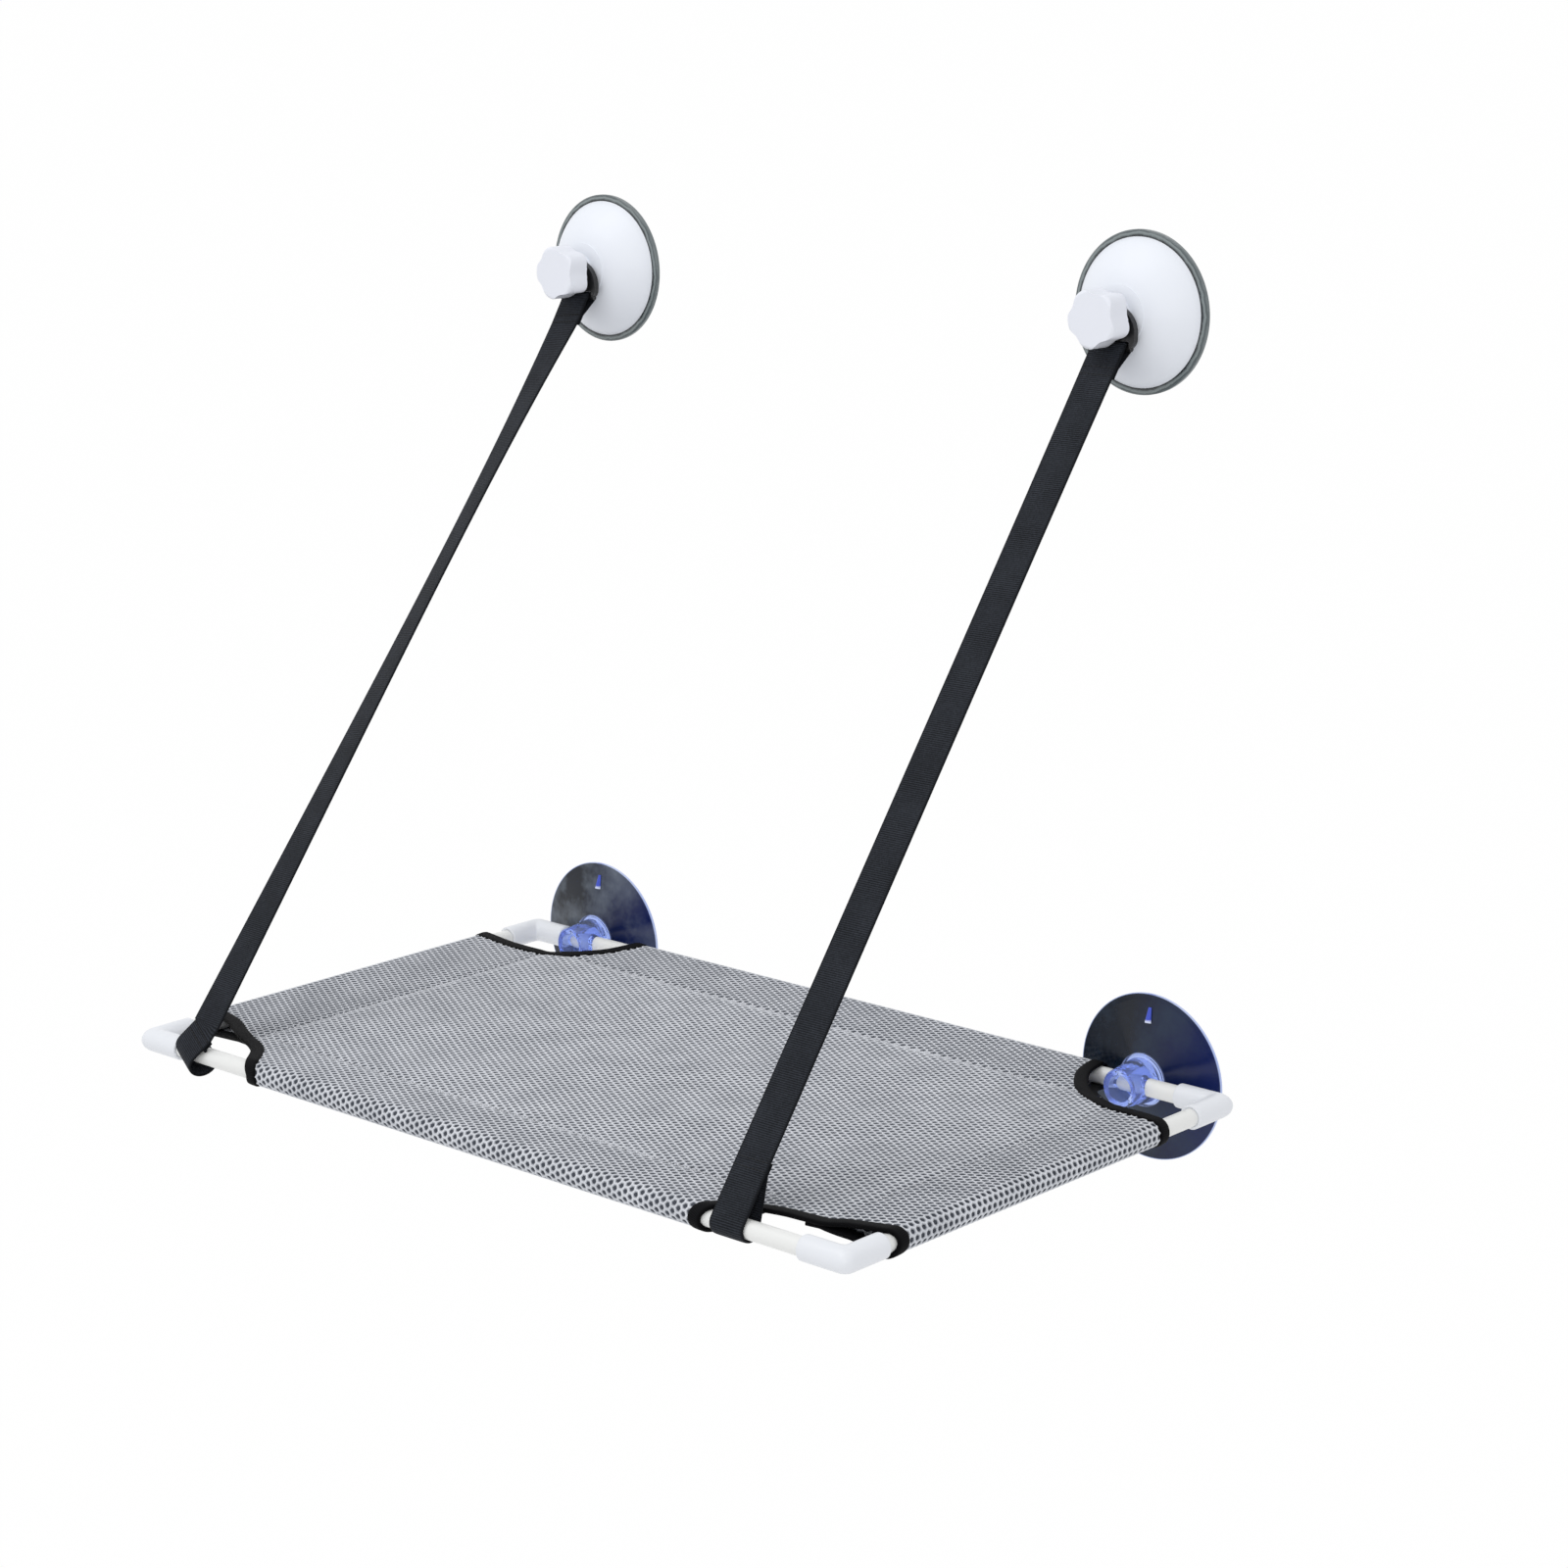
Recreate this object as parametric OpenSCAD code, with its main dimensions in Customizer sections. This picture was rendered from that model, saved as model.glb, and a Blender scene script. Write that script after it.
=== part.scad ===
// Window perch for a cat: a mesh sling on a tube frame, carried by two lower suction cups on the
// back tube and hung by two webbing straps from two upper suction cups with screw knobs.
// +X runs along the window, +Y into the window, +Z up. The origin lies on the glass, midway
// between the two lower cups, at the height of the back tube's axis.

/* [Frame] */
// Width between the axes of the two side tubes
frame_w = 522; // [440:1:600]
// Depth between the axes of the front and back tubes
frame_d = 300; // [240:1:340]
// Sideways place of the frame in the lower cups
frame_shift = 7.5; // [-8:0.5:8]
// Outside diameter of the tubes
tube_d = 10; // [8:0.5:12]
// Wall of the tubes
tube_wall = 1; // [0.8:0.1:1.6]
// Distance from the glass to the back tube's axis
tube_stand = 17.2; // [16:0.1:22]

/* [Elbows] */
// Wall of the elbow round the tube
elbow_wall = 1.75; // [1.2:0.05:2.5]
// Reach of each elbow leg from the corner of the tube axes
elbow_leg = 26; // [20:0.5:34]
// Distance from the corner at which the tubes stop in their sockets
tube_stop = 8; // [7:0.5:12]
// Radius of the elbow's outer corner, seen from above
elbow_corner_r = 4; // [2:0.5:6]
// Chamfer at the elbow's mouths
elbow_chamfer = 0.9; // [0.3:0.1:1.2]

/* [Lower cups] */
// Distance in from the side tubes to the axes of the lower cups, with the frame centred on them
lower_inset = 49.5; // [45:0.5:60]
// Radius of the lower cup's lip
lower_r = 46.7; // [40:0.1:52]
// Thickness of the lower cup's lip at its edge
lower_lip_t = 1.3; // [0.8:0.1:2]
// Height of the lower cup's bell where the neck begins
lower_rise = 8.5; // [7:0.1:9.5]
// Depth of the hollow under the lower cup
lower_hollow = 3.6; // [2:0.1:4]
// Radius of the neck at its root
neck_root_r = 12.7; // [11.5:0.1:14]
// Radius of the neck at its tip
neck_tip_r = 10.8; // [10:0.1:11.4]
// Reach of the neck past the tube
neck_land = 8; // [5:0.5:12]
// Radius of the open recess in the neck
neck_recess_r = 7.5; // [6.2:0.1:8.2]
// Length of the pull nub on the lower cup
nub_len = 8.5; // [6:0.5:11]
// Radius of the pull nub at its thick end
nub_r = 2.1; // [1.5:0.1:2.6]

/* [Upper cups] */
// Distance in from the side tubes to the axes of the upper cups, with the frame centred on them
upper_inset = 64; // [50:0.5:90]
// Height of the upper cups above the back tube's axis
upper_h = 414; // [380:1:470]
// Radius of the upper cup's rubber lip
upper_r = 43; // [42:0.1:48]
// Thickness of the rubber lip
upper_lip_t = 2.6; // [1.8:0.1:3.4]
// Depth of the hollow under the upper cup
upper_hollow = 3.4; // [2:0.1:3.8]
// Height of the rubber boss that holds the stud
upper_boss_h = 14; // [12:0.5:16]
// Radius of the rubber boss
upper_boss_r = 12; // [11:0.5:14]
// Radius of the dome's rim
dome_r = 39.3; // [36:0.1:41]
// Distance from the glass to the top of the dome
dome_top = 23.5; // [22:0.5:28]
// Wall of the dome
dome_wall = 2.2; // [1.6:0.1:3]

/* [Studs and knobs] */
// Diameter of the stud
stud_d = 6; // [5:0.5:7]
// Radius of the stud's head in the rubber
stud_head_r = 9; // [7:0.5:10]
// Outer radius of the knob's lobes
knob_r = 15.8; // [14:0.1:16]
// Depth of the scallops between the lobes
knob_scallop = 2.8; // [1.5:0.1:3.5]
// Length of the knob's star
knob_len = 14; // [13:0.2:18]
// Wall between the knob's hollow and its outside, and of its ribs
knob_wall = 1.2; // [0.9:0.1:1.6]
// Width across the flats of the nut in the knob
nut_af = 10; // [9:0.5:11]
// Thickness of the nut
nut_t = 5; // [4:0.5:6]
// Thickness of the washer under the knob
washer_t = 0.8; // [0.6:0.1:1.5]

/* [Hangers] */
// Thickness of the strap hanger
hanger_t = 3.4; // [3.4:0.1:4.2]
// Distance from the stud to the bar that carries the webbing
hanger_drop = 15.8; // [15.5:0.1:20]
// Diameter of the bar
bar_d = 3.2; // [2.6:0.1:3.3]
// Wall beside the slot
hanger_wall = 3.5; // [2.5:0.1:4]
// Turn of the left hanger on its stud
hanger_turn = 6; // [0:1:10]

/* [Straps] */
// Width of the webbing
web_w = 22; // [18:0.5:25]
// Thickness of the webbing
web_t = 1.5; // [1:0.1:1.8]
// Distance in from the right tube to the right strap
right_strap_in = 71.5; // [66:0.5:75]
// Distance in from the left tube to the left strap
left_strap_in = 40; // [39:0.5:60]
// Distance in from the left tube to the place where the left strap's loop is sewn
left_sewn_in = 47; // [40:0.5:60]
// Distance from the front tube to the lower seam
low_loop = 27; // [22:0.5:34]
// Distance from the bar to the upper seam
high_loop = 13; // [11:0.5:20]
// Length of webbing sewn back on the strap
sewn_len = 8; // [5:0.5:12]
// Slack radius of the left strap's loop round its tube
slack = 3; // [2.8:0.1:3.4]
// Twist gained along the left strap
left_twist = 38; // [0:1:45]

/* [Sling] */
// Thickness of the mesh cloth
mesh_t = 2; // [1.2:0.1:2.6]
// Distance from the front tube's axis to the seam of its sleeve
front_band = 32; // [26:1:40]
// Distance from the back tube's axis to the seam of its sleeve
back_band = 45; // [38:1:60]
// Distance from the left tube's axis to the seam of its sleeve
left_band = 57; // [26:1:64]
// Distance from the right tube's axis to the seam of its sleeve
right_band = 31; // [26:1:64]
// Thickness of the binding tape
tape_t = 0.9; // [0.6:0.1:1.2]
// Width of the binding tape
tape_w = 7.5; // [5:0.5:10]
// Distance from the side tube to the mouth of the front sleeve
front_mouth = 87; // [86:1:96]
// Distance from the front tube to the cut-out's turn
front_turn = 13; // [12:1:18]
// Distance from the front tube to the mouth of the side sleeve
front_side_mouth = 31; // [30:1:40]
// Radius of the front cut-out
front_cut_r = 11; // [8:0.5:12]
// Distance from the side tube to the mouth of the back sleeve
back_mouth = 80; // [77:1:84]
// Distance from the back tube to the cut-out's turn
back_turn = 47; // [41:1:50]
// Distance from the back tube to the mouth of the side sleeve
back_side_mouth = 53; // [49:1:60]
// Radius of the back cut-out
back_cut_r = 34; // [24:1:38]

/* [Clearances] */
// Radial play of the back tube in the lower cups
pivot_play = 0.08; // [0.02:0.01:0.1]
// Play between pieces that are pushed together
fit_play = 0.05; // [0.02:0.01:0.1]
// Radial play of the hanger and washer on the stud
stud_play = 0.1; // [0.05:0.01:0.2]
// Gap between cloth or webbing and what it wraps
cloth_gap = 0.3; // [0.2:0.05:0.5]
// Gap between stacked flat faces
stack_gap = 0.1; // [0.05:0.01:0.2]

/* [Hidden] */
$fn = 96;

white_plastic = [0.93, 0.94, 0.95];
blue_vinyl = [0.22, 0.30, 0.55];
grey_rubber = [0.42, 0.48, 0.48];
black_cloth = [0.12, 0.12, 0.13];
grey_mesh = [0.66, 0.67, 0.69];
bright_steel = [0.75, 0.76, 0.78];

// How far a cut runs past the faces that it opens
over = 1;
// The smallest step between the turned rings of a moulding
step = 0.8;

tube_r = tube_d / 2;
elbow_r = tube_r + elbow_wall;
side_x = frame_w / 2;
lower_x = side_x - lower_inset;
upper_x = side_x - upper_inset;

// Sleeve radii round a tube
sleeve_r = tube_r + cloth_gap;
sling_r = sleeve_r + mesh_t;

// Distances from the glass, in the order in which the knob is stacked on the stud
dome_boss_top = dome_top + step;
hanger_back = dome_boss_top + stack_gap;
hanger_front = hanger_back + hanger_t;
washer_back = hanger_front + stack_gap;
washer_front = washer_back + washer_t;
knob_back = washer_front + stack_gap;
collar_h = 2 * washer_t;
nut_back = knob_back + stack_gap;
knob_star_back = knob_back + collar_h;
knob_front = knob_star_back + knob_len;
stud_end = nut_back + 2 * nut_t + washer_t;

// The neck of the lower cup
neck_tip = tube_stand + tube_r + neck_land;
recess_floor = tube_stand - tube_r - step;

// Turns a shape that is built with its base on the glass so that it stands out into the room
module on_glass(x, z) translate([x, 0, z]) rotate([90, 0, 0]) children();
module on_frame() translate([frame_shift, -tube_stand, 0]) children();

module bar_along_x(r, len) rotate([0, 90, 0]) cylinder(r = r, h = len, center = true);

// The tubes: plain hollow plastic tube, cut to length

module tube(len) {
    difference() {
        bar_along_x(tube_r, len);
        bar_along_x(tube_r - tube_wall, len + 2 * over);
    }
}

module cross_tube(y) {
    color(white_plastic) on_frame() translate([0, y, 0]) tube(frame_w - 2 * tube_stop);
}

module side_tube(x) {
    color(white_plastic)
    on_frame() translate([x, -frame_d / 2, 0]) rotate([0, 0, 90]) tube(frame_d - 2 * tube_stop);
}

// The elbow: two legs that meet in a mitre, solid at its heart, with a rounded outer corner and a
// blind socket in each leg.
// It is built for the corner whose legs run to +X and +Y.

module elbow_leg_solid() {
    rotate([0, 90, 0]) translate([0, 0, -elbow_r]) rotate_extrude()
        polygon([
            [0, 0],
            [elbow_r, 0],
            [elbow_r, elbow_leg + elbow_r - elbow_chamfer],
            [elbow_r - elbow_chamfer, elbow_leg + elbow_r],
            [0, elbow_leg + elbow_r]
        ]);
}

module mitre_side() {
    far = elbow_leg + 2 * elbow_r;
    translate([0, 0, -far / 2]) linear_extrude(far)
        polygon([[-far, -far], [far, -far], [far, far]]);
}

module elbow_plan() {
    far = elbow_leg + 2 * elbow_r;
    translate([0, 0, -far / 2]) linear_extrude(far)
    translate([-elbow_r, -elbow_r]) union() {
        translate([elbow_corner_r, elbow_corner_r]) circle(r = elbow_corner_r);
        translate([elbow_corner_r, 0]) square([far, far]);
        translate([0, elbow_corner_r]) square([far, far]);
    }
}

module elbow_socket() {
    translate([tube_stop - fit_play, 0, 0]) rotate([0, 90, 0])
        cylinder(r = tube_r + fit_play, h = elbow_leg - tube_stop + fit_play + over);
}

module elbow_shape() {
    difference() {
        intersection() {
            union() {
                intersection() {
                    elbow_leg_solid();
                    mitre_side();
                }
                mirror([1, -1, 0]) intersection() {
                    elbow_leg_solid();
                    mitre_side();
                }
                sphere(r = tube_r);
            }
            elbow_plan();
        }
        elbow_socket();
        mirror([1, -1, 0]) elbow_socket();
    }
}

// sx is -1 at the left and 1 at the right, sy is -1 at the front and 1 at the back
module elbow(sx, sy) {
    color(white_plastic)
    on_frame() translate([sx * side_x, (sy - 1) / 2 * frame_d, 0])
        mirror([sx > 0 ? 1 : 0, 0, 0]) mirror([0, sy > 0 ? 1 : 0, 0]) elbow_shape();
}

// The sling: one mesh sheet drawn over the four tubes and sewn back on itself below, so that each
// edge is a sleeve. The section of a sleeve is a drop: round the tube, straight to the seam.

// The angle of the lower tangent point on a circle of radius r, from the point p
function tangent_angle(p, r) = atan2(p[1], p[0]) - acos(r / norm(p));

// Outline of a sleeve round a tube at [0, 0]: from the top, round the outer side to the lower
// tangent, and straight to the seam at the distance v. The underside reaches the seam at the height z.
function sleeve_outline(r, v, z) =
    let (low = 360 + tangent_angle([v, z], r))
    concat(
        [for (i = [0 : 20]) let (a = 90 + (low - 90) * i / 20) [r * cos(a), r * sin(a)]],
        z < r ? [[v, z], [v, r]] : [[v, r]]
    );

module drop_outside(band, grow)
    polygon(sleeve_outline(sling_r + grow, band + grow, sleeve_r - mesh_t - grow));
module drop_inside(band) polygon(sleeve_outline(sleeve_r, band - mesh_t / 2, sleeve_r));

// Carries child 0 along the front edge, 1 along the back, 2 along the left and 3 along the right
module four_edges() {
    for (s = [0, 1]) translate([0, -frame_d / 2, 0]) mirror([0, s, 0]) translate([0, -frame_d / 2, 0])
        rotate([90, 0, 90]) linear_extrude(frame_w, center = true) children(s);
    for (s = [0, 1]) mirror([s, 0, 0]) translate([-side_x, -frame_d / 2, 0])
        rotate([90, 0, 0]) linear_extrude(frame_d, center = true) children(s + 2);
}

module sleeves_outside(grow) four_edges() {
    drop_outside(front_band, grow);
    drop_outside(back_band, grow);
    drop_outside(left_band, grow);
    drop_outside(right_band, grow);
}

module sleeves_inside() four_edges() {
    drop_inside(front_band);
    drop_inside(back_band);
    drop_inside(left_band);
    drop_inside(right_band);
}

module sling_outside(grow) {
    sleeves_outside(grow);
    translate([-side_x, -frame_d, sleeve_r - grow]) cube([frame_w, frame_d, mesh_t + 2 * grow]);
}

// The corner cut-out in plan. It runs from the mouth of the front or back sleeve, at mouth from the
// side tube, turns with the radius r, and slants to the mouth of the side sleeve.
function slant(mouth, turn, side) = atan2(side - turn, mouth);
function cut_points(mouth, turn, side, r, grow) =
    let (
        b = slant(mouth, turn, side),
        m = mouth + grow,
        s = side + grow / cos(b),
        t = s - m * tan(b),
        rr = r + grow,
        back = rr * tan((90 - b) / 2),
        cx = m - rr,
        cy = t - back,
        far = 2 * sling_r + 2 * tape_t
    )
    concat(
        [[-far, -far], [m, -far], [m, cy]],
        [for (i = [1 : 8]) [cx + rr * cos(i * (90 - b) / 8), cy + rr * sin(i * (90 - b) / 8)]],
        [[0, s], [-far, s]]
    );

// The prism of one corner's cut-out, grown by grow
module cut_out(sx, sy, grow) {
    mouth = sy < 0 ? front_mouth : back_mouth;
    turn = sy < 0 ? front_turn : back_turn;
    side = sy < 0 ? front_side_mouth : back_side_mouth;
    r = sy < 0 ? front_cut_r : back_cut_r;
    tall = 4 * sling_r;
    translate([sx * side_x, (sy - 1) / 2 * frame_d, -tall / 2])
        mirror([sx > 0 ? 1 : 0, 0, 0]) mirror([0, sy > 0 ? 1 : 0, 0])
        linear_extrude(tall) polygon(cut_points(mouth, turn, side, r, grow));
}

module mesh_sling() {
    color(grey_mesh)
    on_frame() difference() {
        sling_outside(0);
        sleeves_inside();
        for (sx = [-1, 1], sy = [-1, 1]) cut_out(sx, sy, 0);
    }
}

// The binding: tape folded over the cut edge of one corner and round both tubes' sleeves
module binding(sx, sy) {
    color(black_cloth)
    on_frame() difference() {
        intersection() {
            sling_outside(tape_t);
            difference() {
                cut_out(sx, sy, tape_w);
                cut_out(sx, sy, -tape_t);
            }
        }
        sleeves_inside();
        difference() {
            sling_outside(fit_play);
            cut_out(sx, sy, -fit_play);
        }
    }
}

// The straps: flat webbing, swept along its middle line. Each end wraps its bar or tube and is sewn
// back on the strap. A loop is worked out in its own plane, along e and n, square to its axis w.

function unit(v) = v / norm(v);
function square_to(v, w) = unit(v - (v * w) * w);

// Middle line of a loop of radius r, from its sewn end to the strap. Points are [along, across].
function loop_line(r, reach) =
    let (
        inner = r - web_t - fit_play,
        p = [reach, inner],
        a0 = atan2(inner, reach) - acos(r / norm(p))
    )
    concat(
        [[reach + sewn_len, inner], p],
        [for (i = [0 : 12]) let (a = a0 + (90 - 360 - a0) * i / 12) [r * cos(a), r * sin(a)]],
        [[reach / 2, r], [reach + sewn_len, r]]
    );

// A loop's stations [point, width direction, thickness direction]
function loop_stations(c, w, e, n, line) = [
    for (i = [0 : len(line) - 1])
        let (
            q0 = line[max(i - 1, 0)],
            q1 = line[min(i + 1, len(line) - 1)],
            t = unit(q1 - q0)
        )
        [c + line[i][0] * e + line[i][1] * n, w, t[0] * n - t[1] * e]
];

// The run between the loops, straight, turning from one width direction to the other
function run_stations(a, b, twist, steps) =
    let (d = unit(b[0] - a[0]))
    [for (i = [1 : steps - 1])
        let (
            s = i / steps,
            w0 = square_to(a[1] * (1 - s) + b[1] * s, d),
            n0 = cross(w0, d),
            k = twist * s * (1 - pow(s, 4)),
            w = cos(k) * w0 + sin(k) * n0
        )
        [a[0] * (1 - s) + b[0] * s, w, cross(w, d)]
    ];

function flip(stations) = [for (i = [len(stations) - 1 : -1 : 0]) stations[i]];

module ribbon(stations) {
    corners = [[-1, -1], [1, -1], [1, 1], [-1, 1]];
    n = len(stations);
    points = [
        for (s = stations, c = corners) s[0] + c[0] * web_w / 2 * s[1] + c[1] * web_t / 2 * s[2]
    ];
    // Both broad faces are split along the same diagonal, so that a twisted piece keeps its thickness
    walls = [
        for (i = [0 : n - 2], k = [0 : 3])
            let (a = 4 * i + k, b = 4 * i + (k + 1) % 4)
            each k < 2 ? [[a, a + 4, b], [b, a + 4, b + 4]] : [[a, a + 4, b + 4], [a, b + 4, b]]
    ];
    polyhedron(points, concat([[0, 1, 2], [0, 2, 3]], walls,
        [[4 * n - 4, 4 * n - 2, 4 * n - 3], [4 * n - 4, 4 * n - 1, 4 * n - 2]]));
}

// low is the loop's place on the front tube, sewn its sideways place at the seam, bar the hanger's
// bar, and turn the hanger's turn
module strap(low_x, sewn_x, stud_x, turn, slack_r, twist) {
    low = [frame_shift + low_x, -tube_stand - frame_d, 0];
    bar = [
        stud_x + hanger_drop * sin(turn),
        -(hanger_back + hanger_front) / 2,
        upper_h - hanger_drop * cos(turn)
    ];
    r_low = tube_r + cloth_gap + slack_r + web_t / 2;
    r_bar = bar_d / 2 + cloth_gap + web_t / 2;
    climb = bar - low;
    lean = (sewn_x - low_x) / low_loop;
    e_low = unit(unit([0, climb[1], climb[2]]) + [lean, 0, 0]);
    w_low = square_to([1, 0, 0], e_low);
    w_bar = [cos(turn), 0, sin(turn)];
    e_bar = square_to(-climb, w_bar);
    low_stations = loop_stations(low, w_low, e_low, cross(w_low, e_low), loop_line(r_low, low_loop));
    bar_stations = loop_stations(bar, w_bar, e_bar, -cross(w_bar, e_bar), loop_line(r_bar, high_loop));
    a = low_stations[len(low_stations) - 1];
    b = bar_stations[len(bar_stations) - 1];
    color(black_cloth) ribbon(concat(low_stations, run_stations(a, b, twist, 8), flip(bar_stations)));
}

// The hanger: a plastic eye on the stud, with two cheeks and a round bar that the webbing goes over

// Its outline is a rounded D, widest at the height -mid: half an ellipse above, a fuller curve below
function hanger_outline(half, up, down, mid) = concat(
    [for (i = [0 : 24]) let (a = i * 180 / 24) [half * cos(a), up * sin(a) - mid]],
    [for (i = [1 : 23]) let (a = i * 180 / 24, fullness = 0.6)
        [-sign(cos(a)) * half * pow(abs(cos(a)), fullness), -down * pow(sin(a), fullness) - mid]]
);

module hanger_shape() {
    slot_w = web_w + 2 * hanger_wall / 3;
    mid = hanger_drop / 2;
    foot = hanger_drop + bar_d / 2;
    slot_top = hanger_drop - bar_d / 2 - web_t - 2 * cloth_gap;
    difference() {
        translate([0, 0, hanger_back]) linear_extrude(hanger_t) difference() {
            polygon(hanger_outline(slot_w / 2 + hanger_wall, stud_d / 2 + hanger_wall + mid, foot - mid, mid));
            translate([-slot_w / 2, -foot - over]) square([slot_w, foot + over - slot_top]);
        }
        cylinder(r = stud_d / 2 + stud_play, h = knob_front);
    }
    translate([0, -hanger_drop, (hanger_back + hanger_front) / 2])
        bar_along_x(bar_d / 2, slot_w + 2 * step);
}

module hanger(x, turn) {
    color(black_cloth) on_glass(x, upper_h) rotate([0, 0, turn]) hanger_shape();
}

// The knob: a five-lobed star, hollow behind, with a hub that holds a pressed-in nut

lobes = 5;
knob_round = 2.2;

module star(r, scallop) {
    polygon([for (a = [0 : 4 : 356]) (r - scallop / 2 + scallop / 2 * cos(lobes * a)) * [cos(a), sin(a)]]);
}

module knob(x, turn) {
    hub_r = nut_af / 2 / cos(30) + 2 * knob_wall;
    bowl_r = knob_r - knob_scallop - knob_wall;
    bowl_depth = knob_len * 0.55;
    bore_len = stud_end - knob_back + nut_t / 2;
    color(white_plastic) on_glass(x, upper_h) rotate([0, 0, turn]) difference() {
        union() {
            intersection() {
                translate([0, 0, knob_star_back]) linear_extrude(knob_len) star(knob_r, knob_scallop);
                translate([0, 0, knob_star_back]) rotate_extrude() union() {
                    square([knob_r - knob_round, knob_len]);
                    translate([0, step / 2]) square([knob_r + step, knob_len - knob_round - step / 2]);
                    translate([knob_r - knob_round, knob_len - knob_round]) circle(r = knob_round);
                }
            }
            translate([0, 0, knob_back]) cylinder(r = hub_r, h = collar_h + over);
        }
        difference() {
            translate([0, 0, knob_star_back - over]) cylinder(r = bowl_r, h = bowl_depth + over);
            cylinder(r = hub_r, h = knob_front);
            for (i = [0 : lobes - 1]) rotate([0, 0, i * 360 / lobes])
                translate([0, -knob_wall / 2, 0]) cube([knob_r, knob_wall, knob_front]);
        }
        translate([0, 0, knob_back - over])
            cylinder(r = nut_af / 2 / cos(30) + fit_play, h = over + stack_gap + nut_t + fit_play, $fn = 6);
        translate([0, 0, knob_back - over]) cylinder(r = stud_d / 2 + stud_play, h = over + bore_len);
    }
}

module knob_nut(x, turn) {
    color(bright_steel) on_glass(x, upper_h) rotate([0, 0, turn]) translate([0, 0, nut_back]) difference() {
        cylinder(r = nut_af / 2 / cos(30), h = nut_t, $fn = 6);
        translate([0, 0, -over]) cylinder(r = stud_d / 2 + fit_play, h = nut_t + 2 * over);
    }
}

module washer(x) {
    color(bright_steel) on_glass(x, upper_h) translate([0, 0, washer_back]) difference() {
        cylinder(r = stud_d / 2 + 4 * washer_t, h = washer_t);
        translate([0, 0, -over]) cylinder(r = stud_d / 2 + stud_play, h = washer_t + 2 * over);
    }
}

// The stud: its flat head is moulded into the rubber, its shank carries the dome, hanger and knob

stud_head_t = 2.4;
stud_head_h = upper_boss_h / 2;

module stud_solid(play) {
    translate([0, 0, stud_head_h - play]) cylinder(r = stud_head_r + play, h = stud_head_t + 2 * play);
    translate([0, 0, stud_head_h]) cylinder(r = stud_d / 2 + play, h = stud_end - stud_head_h - step);
    translate([0, 0, stud_end - step])
        cylinder(r1 = stud_d / 2 + play, r2 = stud_d / 2 + play - step, h = step);
}

module stud(x) {
    color(bright_steel) on_glass(x, upper_h) stud_solid(0);
}

// The dome: a shallow spherical shell with a rim that bears on the rubber and a hub on the stud

module dome(x) {
    rim_h = upper_lip_t + stack_gap;
    rise = dome_top - rim_h;
    ball_r = (dome_r * dome_r + rise * rise) / (2 * rise);
    centre_h = dome_top - ball_r;
    boss_r = stud_d / 2 + 3 * dome_wall;
    pad_r = 2 * boss_r - stud_d / 2;
    color(white_plastic) on_glass(x, upper_h) difference() {
        union() {
            intersection() {
                translate([0, 0, centre_h]) sphere(r = ball_r);
                translate([0, 0, rim_h]) cylinder(r = dome_r, h = dome_top);
            }
            intersection() {
                translate([0, 0, centre_h]) sphere(r = ball_r + step / 2);
                translate([0, 0, rim_h + rise / 2]) cylinder(r = pad_r, h = dome_top);
            }
            translate([0, 0, dome_top - step]) cylinder(r = boss_r, h = 2 * step);
        }
        difference() {
            union() {
                translate([0, 0, centre_h]) sphere(r = ball_r - dome_wall);
                cylinder(r = dome_r - dome_wall, h = rim_h + step);
            }
            translate([0, 0, upper_boss_h + stack_gap]) cylinder(r = boss_r, h = dome_top);
        }
        cylinder(r = stud_d / 2 + stud_play, h = knob_front);
    }
}

// The upper cup: a soft rubber disc, flat at its lip, hollow below, with a boss round the stud's head

module upper_cup(x) {
    lip_w = 2.2;
    skin = upper_hollow + upper_lip_t / 2;
    color(grey_rubber) on_glass(x, upper_h) difference() {
        rotate_extrude() polygon(concat(
            [[upper_r - lip_w, 0], [upper_r, 0], [upper_r, upper_lip_t - step], [upper_r - step, upper_lip_t]],
            [[dome_r - dome_wall - step, upper_lip_t]],
            [[upper_boss_r + step, skin + step], [upper_boss_r, skin + 2 * step]],
            [[upper_boss_r, upper_boss_h - step], [upper_boss_r - step, upper_boss_h], [0, upper_boss_h]],
            [for (i = [0 : 7]) hollow_point(i / 8, upper_r - lip_w, upper_hollow)]
        ));
        stud_solid(fit_play);
    }
}

// A point on the hollow under a cup, from its middle at s = 0 to the lip at s = 1
function hollow_point(s, r, depth) = [r * s, depth * (1 - s * s)];

// The lower cup: clear vinyl, a thin bell with a hollow neck that the back tube goes through

function bell_h(r) = lower_lip_t
    + (lower_rise - lower_lip_t) * pow((lower_r - r) / (lower_r - neck_root_r - 3 * step), 1.2);

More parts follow.
